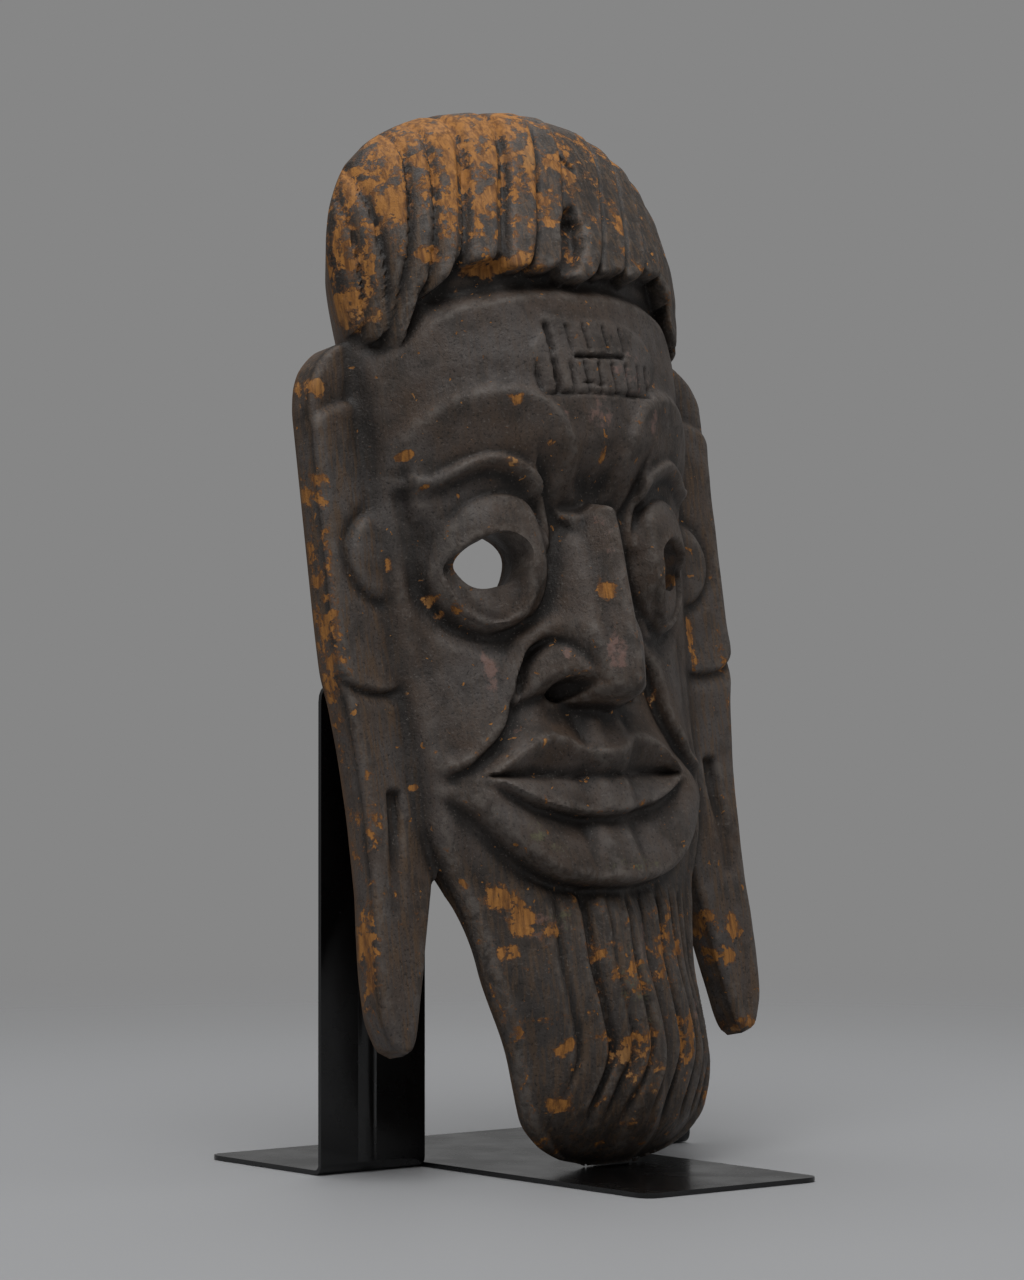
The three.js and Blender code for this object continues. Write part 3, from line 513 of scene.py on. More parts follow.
@dataclass
class Carving:
    """The whole front as a depth map over a raster, with the fields that its paint, its wear, its painted
    shade and its painted highlight follow.

    A rise or depth is in mm, and a tilt is how far a lock's one side stands above its other.
    """

    raster: Raster
    outline: Outline
    root_depth: float = 7.0
    nostril_depth: float = 12.0
    nose_blend: float = 1.6
    nose_round: float = 1.4
    cheek_rise: float = 3.5
    eyeball_rise: float = 10.5
    ear_rise: float = 17.0
    ear_lift: float = 9.0
    lock_end: float = 14.0
    band_depth: float = 9.0
    hair_tilt: float = 3.4
    beard_tilt: float = 1.7
    beard_curl: float = 10.0
    notch_depth: float = 2.6
    knot_depth: float = 7.5
    core_depth: float = 3.0
    pad_rise: float = 1.2

    def __post_init__(self) -> None:
        """Carve both halves, put them together and add what runs across both."""
        raster = self.raster
        self.section = {name: Curve(points) for name, points in SECTIONS.items()}
        self.line = {name: Line(points, closed=name == "eye_opening") for name, points in LINES.items()}
        columns = (len(raster.x) + 1) // 2
        a, h = raster.gx[:, columns - 1:], raster.gh[:, columns - 1:]
        left, right = self.half(a, h, False), self.half(a, h, True)
        even = np.hstack([left[:, :0:-1], right])
        self.x = self.outline.unswayed(raster.gx, raster.gh)
        self.depth = raster.sample(even, self.x, raster.gh)
        self.locks_and_knot()
        self.marks()

    def half(self, a: np.ndarray, h: np.ndarray, right: bool) -> np.ndarray:
        """Depth of one half of the front.

        Args:
            a: Distance from the middle.
            h: Height up the face.
            right: Whether this is the right half, whose cuts sit a little differently.

        Returns:
            Depth in mm at each place.
        """
        shape = self.outline
        w = shape.face_width(h)
        t = np.clip(a / w, 0, 1)
        full = fade("full_cheeks", h) * (0.5 if right else 1)
        low = shape.edge(h)
        dome = np.clip(1 - t ** lerp(2, 2.8, full), 0, 1) ** lerp(0.75, 0.6, full)
        zone = fade("inside_rim", t)
        from_mouth = np.abs(a + (MOUTH_SHIFT if right else -MOUTH_SHIFT))
        away = {name: -line(from_mouth if name in MOUTH_LINES else a, h) for name, line in self.line.items()}
        depth = low + (shape.middle(h) - low) * dome
        depth -= self.root_depth * fade("root_across", a) * fade("root_foot", h) * fade("root_head", h)
        depth += zone * self.brow(a, h, away) + self.eye(a, h, zone, away)
        nostril = self.nostril_depth * fade("nostril", NOSTRIL.reach(a, h))
        depth = higher(depth, self.nose(a, h, right, away), self.nose_blend) - nostril
        depth += zone * self.section["cheek_fold"](-away["cheek_fold"]) * fade("fold_across", a)
        depth += self.cheek_rise * np.clip(1 - CHEEK.reach(a, h) ** 2, 0, 1) ** 1.2
        depth += self.lips(away) * lerp(0.12, 1, fade("lips_across", from_mouth))
        shelf = self.section["chin_shelf"](away["chin_shelf"]) * lerp(1, 0.5, fade("shelf_across", a))
        depth += zone * shelf * fade("shelf_head", h)
        depth = np.where(h > BEARD_TOP, np.maximum(depth, self.ear_rise), depth)
        on_face = a < w + np.where(h < JAW, 3, 0.3)
        return np.where(on_face | (h > EAR_TOP), depth, self.ear(a, h, right, away))

    def brow(self, a: np.ndarray, h: np.ndarray, away: dict[str, np.ndarray]) -> np.ndarray:
        """Brow ridge, the undercut below it and the fold over the eye."""
        section = self.section
        top = section["brow_top"](away["brow_top"]) * fade("brow_foot", h)
        socket = section["brow_low"](away["brow_low"]) * fade("socket_edge", -away["eye_rim"])
        lid = section["lid_crest"](away["lid_crest"]) * fade("lid_foot", h)
        return top + socket * fade("socket_across", a) + lid

    def eye(self, a: np.ndarray, h: np.ndarray, zone: np.ndarray, away: dict[str, np.ndarray]) -> np.ndarray:
        """Eyeball, the opening cut into it and the rim round it."""
        section = self.section
        inside = -away["eye_opening"]
        ball = self.eyeball_rise * np.clip(1 - EYEBALL.reach(a, h) ** 2, 0, 1) ** 0.45
        rim = section["eye_rim"](-away["eye_rim"])
        rim = rim * lerp(0.35, 1, fade("rim_across", a)) * fade("rim_head", h)
        bowl = section["bowl"](inside) * lerp(1.0, 1.9, fade("bowl_rise", h))
        lid = section["lower_lid"](inside) * fade("lower_lid_head", h)
        return zone * (ball + rim) - bowl + lid

    def nose(self, a: np.ndarray, h: np.ndarray, right: bool, away: dict[str, np.ndarray]) -> np.ndarray:
        """The nose: a steep wedge, cut flat on top, with full wings and a hooked tip."""
        edge = away["nose_edge"]
        wing = self.section["nose_wing"](away["nose_wing"]) * fade("wing_inner", a) * fade("wing_outer", a)
        steep = 1.3 if right else 1.0
        fall = steep * Curve(NOSE_SLOPE)(h) * (np.hypot(a, self.nose_round) - self.nose_round)
        return Curve(NOSE_RIDGE)(h) - fall + self.section["nose_under"](edge) + wing * fade("wing_edge", edge)

    def lips(self, away: dict[str, np.ndarray]) -> np.ndarray:
        """Two full lips that meet in a deep line."""
        top, middle, bottom = away["lip_top"], away["mouth"], away["lip_low"]
        upper = np.clip(-top / (np.maximum(middle, 0) + np.maximum(-top, 0) + 1e-6), 0, 1)
        lower = np.clip(-middle / (np.maximum(bottom, 0) + np.maximum(-middle, 0) + 1e-6), 0, 1)
        under = np.where(bottom > 0, lerp(-5.5, 4.2, np.sqrt(lower)), self.section["below_lip"](bottom))
        over = np.where(middle > 0, lerp(6, -4.5, upper**1.15), under)
        return np.where(top > 0, self.section["above_lip"](top), over)

    def ear(self, a: np.ndarray, h: np.ndarray, right: bool, away: dict[str, np.ndarray]) -> np.ndarray:
        """The flat ear and its long lobe; the right one sits a little higher."""
        section = self.section
        lift = self.ear_lift if right else 0
        fold = section["ear_fold"](-away["ear_fold"]) * fade("ear_fold_foot", h)
        tragus = section["tragus"](19 * (1 - TRAGUS.reach(a, h)))
        step_line = -self.line["ear_step"](a, h - lift) if right else away["ear_step"]
        step = section["ear_step"](-step_line) * fade("ear_step_foot", h) * fade("ear_step_head", h)
        down = h - 1.5 * lift
        middle = lerp(98, 103, fade("slot_lean", down))
        slot = section["slot"](np.abs(a - middle)) * fade("slot_head", down) * fade("slot_foot", down)
        slot = slot * lerp(1.2, 5.5, fade("slot_rise", down))
        depth = self.ear_rise - fade("lobe_thins", h) + fold + tragus + step - slot
        depth -= 0.8 * edge_drop(self.outline.ear_outer(h) - a, 5)
        inner = np.where(h < LOBE_TOP, a - self.outline.lobe_inner(h), 4)
        return depth - 0.9 * edge_drop(inner, 4) * fade("lobe_free", h)

    def locks_and_knot(self) -> None:
        """Carve the hair, the plain band below it, the knot hole and the beard."""
        raster, x, h = self.raster, self.x, self.raster.gh
        a = np.abs(x)
        w = self.outline.face_width(h)
        seam = fade("seam_near", np.abs(a - w)) * fade("seam_foot", h) * fade("seam_head", h)
        self.depth = lerp(self.depth, raster.blur(self.depth, 2.6), seam)
        rim = -self.line["hair_rim"](a, h) + 1.3 * raster.noise(15, 90, 12, 2)
        above = -self.line["forehead"](a, h)
        wander = raster.noise(30, 60, 3, 2)
        planks, flutes = self.locks(HAIR_GROOVES, x + wander, share(HAIR_SPAN, h))
        rim = rim - 2.6 * (4 * planks**2) - 0.5 * flutes
        self.on_hair = fade("hair_edge", rim) * fade("hair_foot", h)
        band = fade("band_low", above) * fade("band_high", rim) * fade("band_foot", h)
        band = band * fade("band_side", a / w)
        self.depth += self.on_hair * self.section["hair_rim"](rim) - self.band_depth * band
        below_chin = fade("beard_edge", -self.line["chin_shelf"](a, h))
        self.on_beard = below_chin * (a < w + 2) * fade("beard_head", h)
        self.on_ear = ((a > w) & (h < EAR_TOP)).astype(float)
        self.depth += self.on_hair * (self.hair_tilt * planks - flutes)
        self.depth -= self.notch_depth * self.on_hair * fade("notch_near", rim) * fade("notch_deep", flutes)
        slanted = x - lerp(-8, 12, share(HAIR_SPAN, h))
        knot = fade("knot", KNOT.reach(slanted, h) + 0.12 * raster.noise(6, 9, 8, 2))
        core = fade("knot_core", KNOT_CORE.reach(slanted, h))
        self.depth -= self.knot_depth * knot + self.core_depth * core
        curl = self.beard_curl * fade("curl", h)
        planks, flutes = self.locks(BEARD_GROOVES, x + 0.6 * wander + curl, share(BEARD_SPAN, h))
        beard = fade("strands_side", x) * fade("strands_head", h) * fade("strands_foot", h) * self.on_beard
        self.depth += beard * (self.beard_tilt * planks - flutes)

    def marks(self) -> None:
        """Add the forehead mark, the cracks and the marks of the tools, and note the ridges and crevices."""
        raster, x, h = self.raster, self.x, self.raster.gh
        pad = Line(tuple(reversed(MARK_PAD)), closed=True)(x, h)
        self.depth += self.pad_rise * fade("pad_edge", pad + 0.5 * raster.noise(5, 5, 21, 2))
        ragged = 0.35 * raster.noise(2.5, 2.5, 31, 2)
        for cut in MARK_CUTS + CRACKS:
            self.depth -= cut.depth * ramp(cut.half, cut.half * 0.2, cut.across(x, h) + ragged)
        fibrous = np.clip(self.on_hair + self.on_beard + self.on_ear, 0, 1)
        self.depth += 0.30 * raster.facets(11, 21, 41) * (1 - 0.6 * self.on_hair)
        self.depth += 0.22 * raster.noise(26, 44, 42, 4)
        self.depth += 0.12 * raster.noise(1.8, 22, 43, 2) * fibrous
        self.depth = lerp(self.depth, raster.blur(self.depth, 0.6), 0.5)
        # The ridge field leads the worn paint and a painted highlight; the crevice field leads the painted
        # shade.
        broad, wide = raster.blur(self.depth, 3.0), raster.blur(self.depth, 8.0)
        self.ridge = np.clip((self.depth - broad) / 1.1, 0, 1)
        self.crevice_shade = np.clip((broad - self.depth) / 1.3 + (wide - self.depth) / 6, 0, 1)

    def locks(self, grooves: Sequence[Groove], x: np.ndarray,
              rise: np.ndarray) -> tuple[np.ndarray, np.ndarray]:
        """Tilt of the planks between grooves, and the depth of the grooves.

        Args:
            grooves: The grooves from left to right.
            x: Place across.
            rise: Height between the grooves' low and high ends, 0 to 1.

        Returns:
            The planks' tilt, from -0.5 to 0.5 across each, and the grooves' depth in mm.
        """
        rise = np.clip(rise, -0.5, 1.5)
        edges = [lerp(groove.low, groove.high, rise) for groove in grooves]
        edges = [edges[0] - self.lock_end, *edges, edges[-1] + self.lock_end]
        planks = np.zeros_like(x)
        for left, right in zip(edges[:-1], edges[1:]):
            t = (x - left) / (right - left)
            planks = np.where((t >= 0) & (t < 1), t - 0.5, planks)
        cut = [g.depth * ramp(g.half, g.half * 0.35, np.abs(x - e)) for g, e in zip(grooves, edges[1:-1])]
        return planks, np.max(cut, axis=0)


# Wear


@dataclass(frozen=True)
class Wear(Oval):
    """A place where the paint is worn or stained, with its strength."""

    strength: float


LOST_PAINT = tuple(Wear(*row) for row in (
    (-55, 466, 20, 20, 0.36), (-42, 492, 26, 11, 0.42), (-20, 492, 18, 14, 0.46), (-24, 474, 12, 16, 0.34),
    (-72, 478, 16, 14, 0.36), (-100, 420, 8, 26, 0.36), (-97, 400, 8, 10, 0.32), (-95, 442, 9, 16, 0.28),
    (-14, 444, 4, 14, 0.40), (-4, 424, 4, 9, 0.36), (-45, 416, 16, 4, 0.38), (-56, 434, 4, 16, 0.28),
    (33, 442, 5, 14, 0.34), (11, 472, 12, 14, 0.36), (45, 486, 24, 14, 0.30), (-84, 458, 12, 18, 0.28),
    (-73, 423, 6, 6, 0.34), (-116, 365, 5, 5, 0.46), (-120, 318, 3, 10, 0.36), (-121, 250, 3.0, 66, 0.30),
    (-120, 190, 4, 28, 0.34), (-118, 110, 4, 40, 0.30), (-86, 329, 2.2, 2.2, 0.6),
    (-80, 313.5, 1.6, 1.6, 0.5), (-48, 322, 4, 3, 0.42), (-29, 329, 2, 2, 0.42),
    (-43, 350.5, 5.5, 3.4, 0.40), (-66, 278, 4.6, 5, 0.46), (-7, 259, 3.4, 5.6, 0.46),
    (-75, 262, 2.2, 3, 0.40), (-70, 255, 2.4, 2.4, 0.38), (67, 273, 4, 5, 0.38), (2, 326, 2, 6, 0.36),
    (-91, 280, 2, 4, 0.44), (43, 215, 3, 6, 0.32), (94, 247, 3, 12, 0.36), (-58, 122, 8, 7, 0.46),
    (-49, 111, 6, 8, 0.40), (-57, 96, 5, 4, 0.38), (-38, 104, 6, 6, 0.30), (4, 84, 28, 24, 0.24),
    (22, 82, 11, 12, 0.28), (36, 98, 16, 18, 0.27), (-34, 51, 5, 5, 0.40), (40, 46, 12, 20, 0.30),
    (6, 48, 28, 14, 0.25), (-36, 24, 5, 4, 0.38), (87, 108, 6, 7, 0.40), (99, 104, 6, 7, 0.46),
    (94, 92, 8, 6, 0.40), (105, 58, 7, 4, 0.40), (114, 215, 3, 70, 0.28), (-88, 176, 2, 2, 0.6),
    (-111, 160, 5, 20, 0.24), (-98, 120, 7, 26, 0.20),
))
PALE_RESIDUE = tuple(Wear(*row) for row in (
    (-9, 230, 4, 9, 0.40), (-24, 230, 3, 5, 0.30), (-4, 286, 3, 16, 0.22), (-1, 344, 10, 9, 0.28),
    (24, 366, 16, 12, 0.22), (36, 340, 5, 9, 0.32), (-55, 227, 3, 11, 0.42), (-40, 106, 10, 8, 0.30),
    (-46, 204, 3, 14, 0.22), (14, 90, 9, 16, 0.25), (54, 62, 6, 11, 0.28), (-18, 345, 6, 10, 0.18),
))
GREEN_TRACE = tuple(Wear(*row) for row in (
    (-46, 149, 6, 5, 0.36), (-36, 142, 7, 4, 0.30), (8, 132, 20, 5, 0.28), (2, 78, 12, 18, 0.26),
    (-30, 108, 9, 9, 0.26), (12, 60, 9, 13, 0.2),
))


def stain(raster: Raster, places: Sequence[Wear]) -> np.ndarray:
    """Strength of a stain over the raster, from its places."""
    total = np.zeros_like(raster.gx)
    for place in places:
        gap = place.reach(raster.gx, raster.gh) ** 2
        total = np.maximum(total, place.strength * np.exp(-0.6 * gap**1.4))
    return total


# Meshes


def mesh_object(name: str, vertices: np.ndarray, faces: Sequence[Sequence[int]]) -> bpy.types.Object:
    """A new mesh object in the scene.

    Args:
        name: Name of the object.
        vertices: One row of x, y, z for each vertex.
        faces: Vertex numbers of each face.

    Returns:
        The object, with its normals facing out.
    """
    mesh = bpy.data.meshes.new(name)
    mesh.from_pydata(np.asarray(vertices, float).tolist(), [], [list(map(int, face)) for face in faces])
    mesh.update()
    thing = bpy.data.objects.new(name, mesh)
    bpy.context.scene.collection.objects.link(thing)
    if volume(mesh) < 0:
        mesh.flip_normals()
    return thing


def vertex_values(mesh: bpy.types.Mesh, name: str = "co") -> np.ndarray:
    """A mesh's places or normals, one row for each vertex."""
    values = np.empty(len(mesh.vertices) * 3)
    mesh.vertices.foreach_get(name, values)
    return values.reshape(-1, 3)


def volume(mesh: bpy.types.Mesh) -> float:
    """Volume that a closed mesh holds, negative where it is inside out."""
    mesh.calc_loop_triangles()
    corners = np.empty(len(mesh.loop_triangles) * 3, int)
    mesh.loop_triangles.foreach_get("vertices", corners)
    a, b, c = vertex_values(mesh)[corners.reshape(-1, 3)].transpose(1, 0, 2)
    return float(np.einsum("ij,ij->i", a, np.cross(b, c)).sum() / 6)


def flatten(thing: bpy.types.Object) -> bpy.types.Object:
    """Turn an object with modifiers into a plain mesh, in place."""
    graph = bpy.context.evaluated_depsgraph_get()
    made = bpy.data.meshes.new_from_object(thing.evaluated_get(graph))
    thing.modifiers.clear()
    old, thing.data = thing.data, made
    bpy.data.meshes.remove(old)
    return thing


def dress(thing: bpy.types.Object, material: bpy.types.Material, sharp_above: float) -> None:
    """Give a finish, and shade smooth but for the edges sharper than an angle in degrees."""
    mesh = thing.data
    mesh.materials.clear()
    mesh.materials.append(material)
    mesh.polygons.foreach_set("material_index", np.zeros(len(mesh.polygons), np.int32))
    mesh.shade_smooth()
    mesh.set_sharp_from_angle(angle=math.radians(sharp_above))


class Join(Enum):
    """How two solids are put together."""

    ADD = "UNION"
    CUT = "DIFFERENCE"
    KEEP = "INTERSECT"


def combine(thing: bpy.types.Object, tool: bpy.types.Object, how: Join) -> bpy.types.Object:
    """Join a solid with another one, which is used up."""
    modifier = thing.modifiers.new("join", "BOOLEAN")
    modifier.solver = "MANIFOLD"
    modifier.operation = how.value
    modifier.object = tool
    flatten(thing)
    bpy.data.objects.remove(tool)
    return thing


def grid_faces(rows: int, columns: int) -> list[list[int]]:
    """Faces between the points of a grid, which run row by row."""
    corner = (np.arange(rows - 1)[:, None] * columns + np.arange(columns - 1)[None, :]).ravel()
    return np.column_stack([corner, corner + 1, corner + columns + 1, corner + columns]).tolist()


def ring_faces(rings: int, count: int) -> list[tuple[int, ...]]:
    """Faces of a closed tube of rings, with a flat face at each end."""
    faces = [
        (r * count + i, r * count + (i + 1) % count, (r + 1) * count + (i + 1) % count, (r + 1) * count + i)
        for r in range(rings - 1)
        for i in range(count)
    ]
    faces.append(tuple(range(count))[::-1])
    faces.append(tuple((rings - 1) * count + i for i in range(count)))
    return faces


def tube(name: str, outlines: Sequence[np.ndarray], depths: Sequence[float]) -> bpy.types.Object:
    """A solid whose outline in x and h changes from depth to depth.

    Args:
        name: Name of the object.
        outlines: One outline for each depth, all with the same number of points.
        depths: Depths in mm, forward from the ears' back.

    Returns:
        The solid, in the mask's own layout.
    """
    rings = [
        np.column_stack([outline[:, 0], np.full(len(outline), -depth), outline[:, 1]])
        for outline, depth in zip(outlines, depths)
    ]
    return mesh_object(name, np.vstack(rings), ring_faces(len(rings), len(outlines[0])))


def evenly(points: np.ndarray, spacing: float, count: int = 0) -> np.ndarray:
    """A closed outline with its points spread evenly.

    Args:
        points: The outline's points.
        spacing: About how far apart the new ones are, in mm.
        count: How many there are instead, where outlines have to match.

    Returns:
        The new points.
    """
    closed = np.vstack([points, points[:1]])
    run = np.concatenate([[0], np.cumsum(np.hypot(*np.diff(closed, axis=0).T))])
    places = np.linspace(0, run[-1], (count or int(run[-1] / spacing)) + 1)[:-1]
    return np.column_stack([np.interp(places, run, closed[:, axis]) for axis in (0, 1)])


# Node trees


def add_node(tree: bpy.types.NodeTree, kind: str, inputs: dict[int | str, Source] | None = None,
             output: int | str = 0, **settings: str | bool) -> bpy.types.NodeSocket | None:
    """Add a node, set its options and fill its inputs.

    Args:
        tree: The tree to add to.
        kind: The node's type.
        inputs: Values or sockets by input name or number.
        output: The output to give back, by name or number.
        **settings: Options of the node.

    Returns:
        That output, or None where the node has no outputs.
    """
    node = tree.nodes.new(kind)
    for name, value in settings.items():
        setattr(node, name, value)
    for name, value in (inputs or {}).items():
        if isinstance(value, bpy.types.NodeSocket):
            tree.links.new(value, node.inputs[name])
        else:
            node.inputs[name].default_value = value
    return node.outputs[output] if len(node.outputs) else None


def paint(code: str) -> tuple[float, float, float, float]:
    """Linear colour from a hex sRGB code."""
    channels = [int(code[i:i + 2], 16) / 255 for i in (1, 3, 5)]
    linear = [c / 12.92 if c <= 0.04045 else ((c + 0.055) / 1.055) ** 2.4 for c in channels]
    return (*linear, 1.0)


@dataclass(frozen=True)
class Pattern:
    """Noise: the size of its features in mm, its detail, roughness and twist, and how it is stretched."""

    size: float
    detail: float
    rough: float
    twist: float = 0.0
    stretch: tuple[float, float, float] = (1, 1, 1)


@dataclass(frozen=True)
class Cover:
    """How strongly something shows: from thin to thick as its pattern goes from low to high.

    It is held back by the field named in within, and an even one follows its pattern in a straight line.
    """

    pattern: str
    low: float
    high: float
    thin: float = 0.0
    thick: float = 1.0
    within: str = ""
    even: bool = False


@dataclass
class Recipe:
    """A material in the making: its tree, and the patterns and fields that its coats may follow."""

    name: str
    material: bpy.types.Material = field(init=False)
    add: Callable[..., bpy.types.NodeSocket] = field(init=False)
    source: dict[str, bpy.types.NodeSocket] = field(default_factory=dict)

    def __post_init__(self) -> None:
        """Start an empty tree."""
        self.material = bpy.data.materials.new(self.name)
        self.material.use_nodes = True
        self.material.node_tree.nodes.clear()
        self.add = partial(add_node, self.material.node_tree)

    def spread_patterns(self, place: bpy.types.NodeSocket, patterns: dict[str, Pattern]) -> None:
        """Lay patterns over the piece.

        Args:
            place: The place on the piece in metres.
            patterns: The patterns by name.
        """
        for name, p in patterns.items():
            vector = self.add("ShaderNodeMapping", {"Vector": place, "Scale": p.stretch})
            inputs = {"Vector": vector, "Scale": 1 / (p.size * MM), "Detail": p.detail, "Roughness": p.rough,
                      "Distortion": p.twist}
            self.source[name] = self.add("ShaderNodeTexNoise", inputs, "Fac")

    def shown(self, cover: Cover) -> bpy.types.NodeSocket:
        """How strongly something shows at each place."""
        inputs = {"Value": self.source[cover.pattern], "From Min": cover.low, "From Max": cover.high,
                  "To Min": cover.thin, "To Max": cover.thick}
        kind = "LINEAR" if cover.even else "SMOOTHSTEP"
        strength = self.add("ShaderNodeMapRange", inputs, interpolation_type=kind, clamp=not cover.even)
        if cover.within:
            held = {0: strength, 1: self.source[cover.within]}
            strength = self.add("ShaderNodeMath", held, operation="MULTIPLY")
        return strength

    def lay(self, tone: Source, coats: Sequence[tuple[Source, Cover]]) -> bpy.types.NodeSocket:
        """Lay coats over a tone, one after the other.

        Args:
            tone: The colour below them.
            coats: Each coat's colour, and how strongly it shows.

        Returns:
            The colour of them all.
        """
        for colour, cover in coats:
            tone = self.add("ShaderNodeMix", {0: self.shown(cover), 6: tone, 7: colour}, 2, data_type="RGBA")
        return tone

    def relief(self, layers: Sequence[tuple[Source, float, float]]) -> bpy.types.NodeSocket:
        """Fine relief in layers, each with its height, its strength and its depth in mm."""
        below = {}
        for height, strength, depth in layers:
            inputs = {"Height": height, "Strength": strength, "Distance": depth * MM}
            below = {"Normal": self.add("ShaderNodeBump", inputs | below)}
        return below["Normal"]

    def finish(self, inputs: dict[str, Source]) -> bpy.types.Material:
        """End the tree in a surface."""
        surface = self.add("ShaderNodeBsdfPrincipled", inputs)
        self.add("ShaderNodeOutputMaterial", {"Surface": surface})
        return self.material


@dataclass(frozen=True)
class AgedPaint:
    """Old matt paint over ochre wood, rubbed off on the edges and lost in flakes.

    The eye sees a dull grey-brown skin with painted shade in its hollows and eye holes, a paler coat on its
    ridges that is partly rubbed wear and partly painted highlight, and warm bare wood with a darker rim
    wherever a flake has gone.
    """

    grey: str = "#514b48"
    brown: str = "#47392f"
    dark: str = "#2b2622"
    soot_and_shade: str = "#120f0d"
    ochre: str = "#a87236"
    deep_ochre: str = "#6b4524"
    pale_ochre: str = "#b58e5f"
    rose: str = "#8a6a60"
    green: str = "#6f7050"
    dust: str = "#6b645e"
    raw: str = "#5b4632"
    flake_shares: tuple[tuple[str, float], ...] = (("sheet", 0.46), ("scrap", 0.36), ("fine", 0.18))
    flake_contrast: float = 1.8
    dry_roughness: float = 0.14

    def sources(self, recipe: Recipe) -> None:
        """Read the fields that the carving left on the mesh, and make the patterns."""
        for name in ("dark", "grainy", "crevice_shade", "ridge", "rose", "green", "lost", "back"):
            recipe.source[name] = recipe.add("ShaderNodeAttribute", None, "Fac", attribute_name=name)
        place = recipe.add("ShaderNodeAttribute", None, "Vector", attribute_name="carved")
        recipe.spread_patterns(place, {
            "cloud": Pattern(60, 5, 0.6),
            "patch": Pattern(16, 6, 0.62, 0.3),
            "scrap": Pattern(5, 5, 0.65, 0.4),
            "grain": Pattern(2.0, 5, 0.62, 0.4, (1, 0.6, 0.09)),
            "speck": Pattern(1.3, 3, 0.62),
            "moss": Pattern(4, 5, 0.7, 0.5),
            "fine": Pattern(1.8, 4, 0.6),
            "sheet": Pattern(11, 3, 0.5, 0.8),
            "chip": Pattern(4.2, 2, 0.5, 0.6),
        })
        for name, pattern, where in (("rosy", "scrap", "rose"), ("mossy", "moss", "green")):
            inputs = {0: recipe.source[pattern], 1: 0.9, 2: recipe.source[where]}
            recipe.source[name] = recipe.add("ShaderNodeMath", inputs, operation="MULTIPLY_ADD")
        start = {0: recipe.source["lost"], 1: 0.5 - 0.5 * self.flake_contrast}
        flakes = recipe.add("ShaderNodeMath", start, operation="ADD")
        for name, part in self.flake_shares:
            inputs = {0: recipe.source[name], 1: self.flake_contrast * part, 2: flakes}
            flakes = recipe.add("ShaderNodeMath", inputs, operation="MULTIPLY_ADD")
        recipe.source["flakes"] = flakes

    def material(self) -> bpy.types.Material:
        """Build the material."""
        recipe = Recipe("aged_paint_on_wood")
        self.sources(recipe)
        add, source = recipe.add, recipe.source
        raw, dark, soot_and_shade, dust = map(paint, (self.raw, self.dark, self.soot_and_shade, self.dust))
        deep_ochre = paint(self.deep_ochre)
        skin = recipe.lay(paint(self.grey), (
            (paint(self.brown), Cover("cloud", 0.35, 0.65)),
            (dark, Cover("dark", 0, 1, 0, 0.7, even=True)),
            (dark, Cover("patch", 0.44, 0.66, 0, 0.65)),
            (raw, Cover("grain", 0.45, 0.62, 0, 0.75, "grainy")),
            # painted shade: near-black laid over the crevices and the eye holes' inner walls
            (soot_and_shade, Cover("cloud", 0.3, 0.6, 0.45, 0.9, "crevice_shade")),
            (dust, Cover("speck", 0.60, 0.72, 0, 0.6)),
            (soot_and_shade, Cover("speck", 0.44, 0.32, 0, 0.75)),
            # partly rubbed wear, partly painted highlight: a paler coat laid over the ridges
            (dust, Cover("scrap", 0.42, 0.62, 0.1, 0.6, "ridge")),
            (paint(self.rose), Cover("rosy", 0.66, 0.86, 0, 0.6)),
            (paint(self.green), Cover("mossy", 0.68, 0.88, 0, 0.5)),
            (deep_ochre, Cover("flakes", 0.86, 0.93, 0, 0.65)),
        ))
        wood = recipe.lay(paint(self.ochre), (
            (deep_ochre, Cover("grain", 0.38, 0.66)),
            (paint(self.pale_ochre), Cover("cloud", 0.5, 0.75, 0, 0.7)),
        ))
        behind = recipe.lay(raw, (
            (dark, Cover("grain", 0.3, 0.75)),
            (deep_ochre, Cover("cloud", 0.4, 0.7, 0, 0.6)),
        ))
        source["thin_patch"] = recipe.shown(Cover("patch", 0.44, 0.52))
        flaked = {0: recipe.shown(Cover("flakes", 0.93, 0.965)),
                  1: recipe.shown(Cover("chip", 0.705, 0.72, within="thin_patch"))}
        source["bare"] = add("ShaderNodeMath", flaked, operation="MAXIMUM")
        tone = recipe.lay(skin, (
            (wood, Cover("bare", 0, 1, even=True)),
            (behind, Cover("back", 0, 1, even=True)),
        ))
        dull = recipe.shown(Cover("patch", 0.3, 0.7, 0.52, 0.68))
        dry = {0: source["bare"], 1: self.dry_roughness, 2: dull}
        rough = add("ShaderNodeMath", dry, operation="MULTIPLY_ADD", use_clamp=True)
        both = add("ShaderNodeMath", {0: source["grain"], 1: source["speck"]}, operation="ADD")
        tooth = add("ShaderNodeMath", {0: both, 1: 0.5}, operation="MULTIPLY")
        skin_left = add("ShaderNodeMath", {0: 1.0, 1: source["bare"]}, operation="SUBTRACT")
        normal = recipe.relief(((tooth, 0.9, 0.6), (source["scrap"], 0.7, 0.8), (skin_left, 0.8, 0.25)))
        return recipe.finish({
            "Base Color": tone, "Roughness": rough, "Normal": normal, "Specular IOR Level": 0.38,
        })


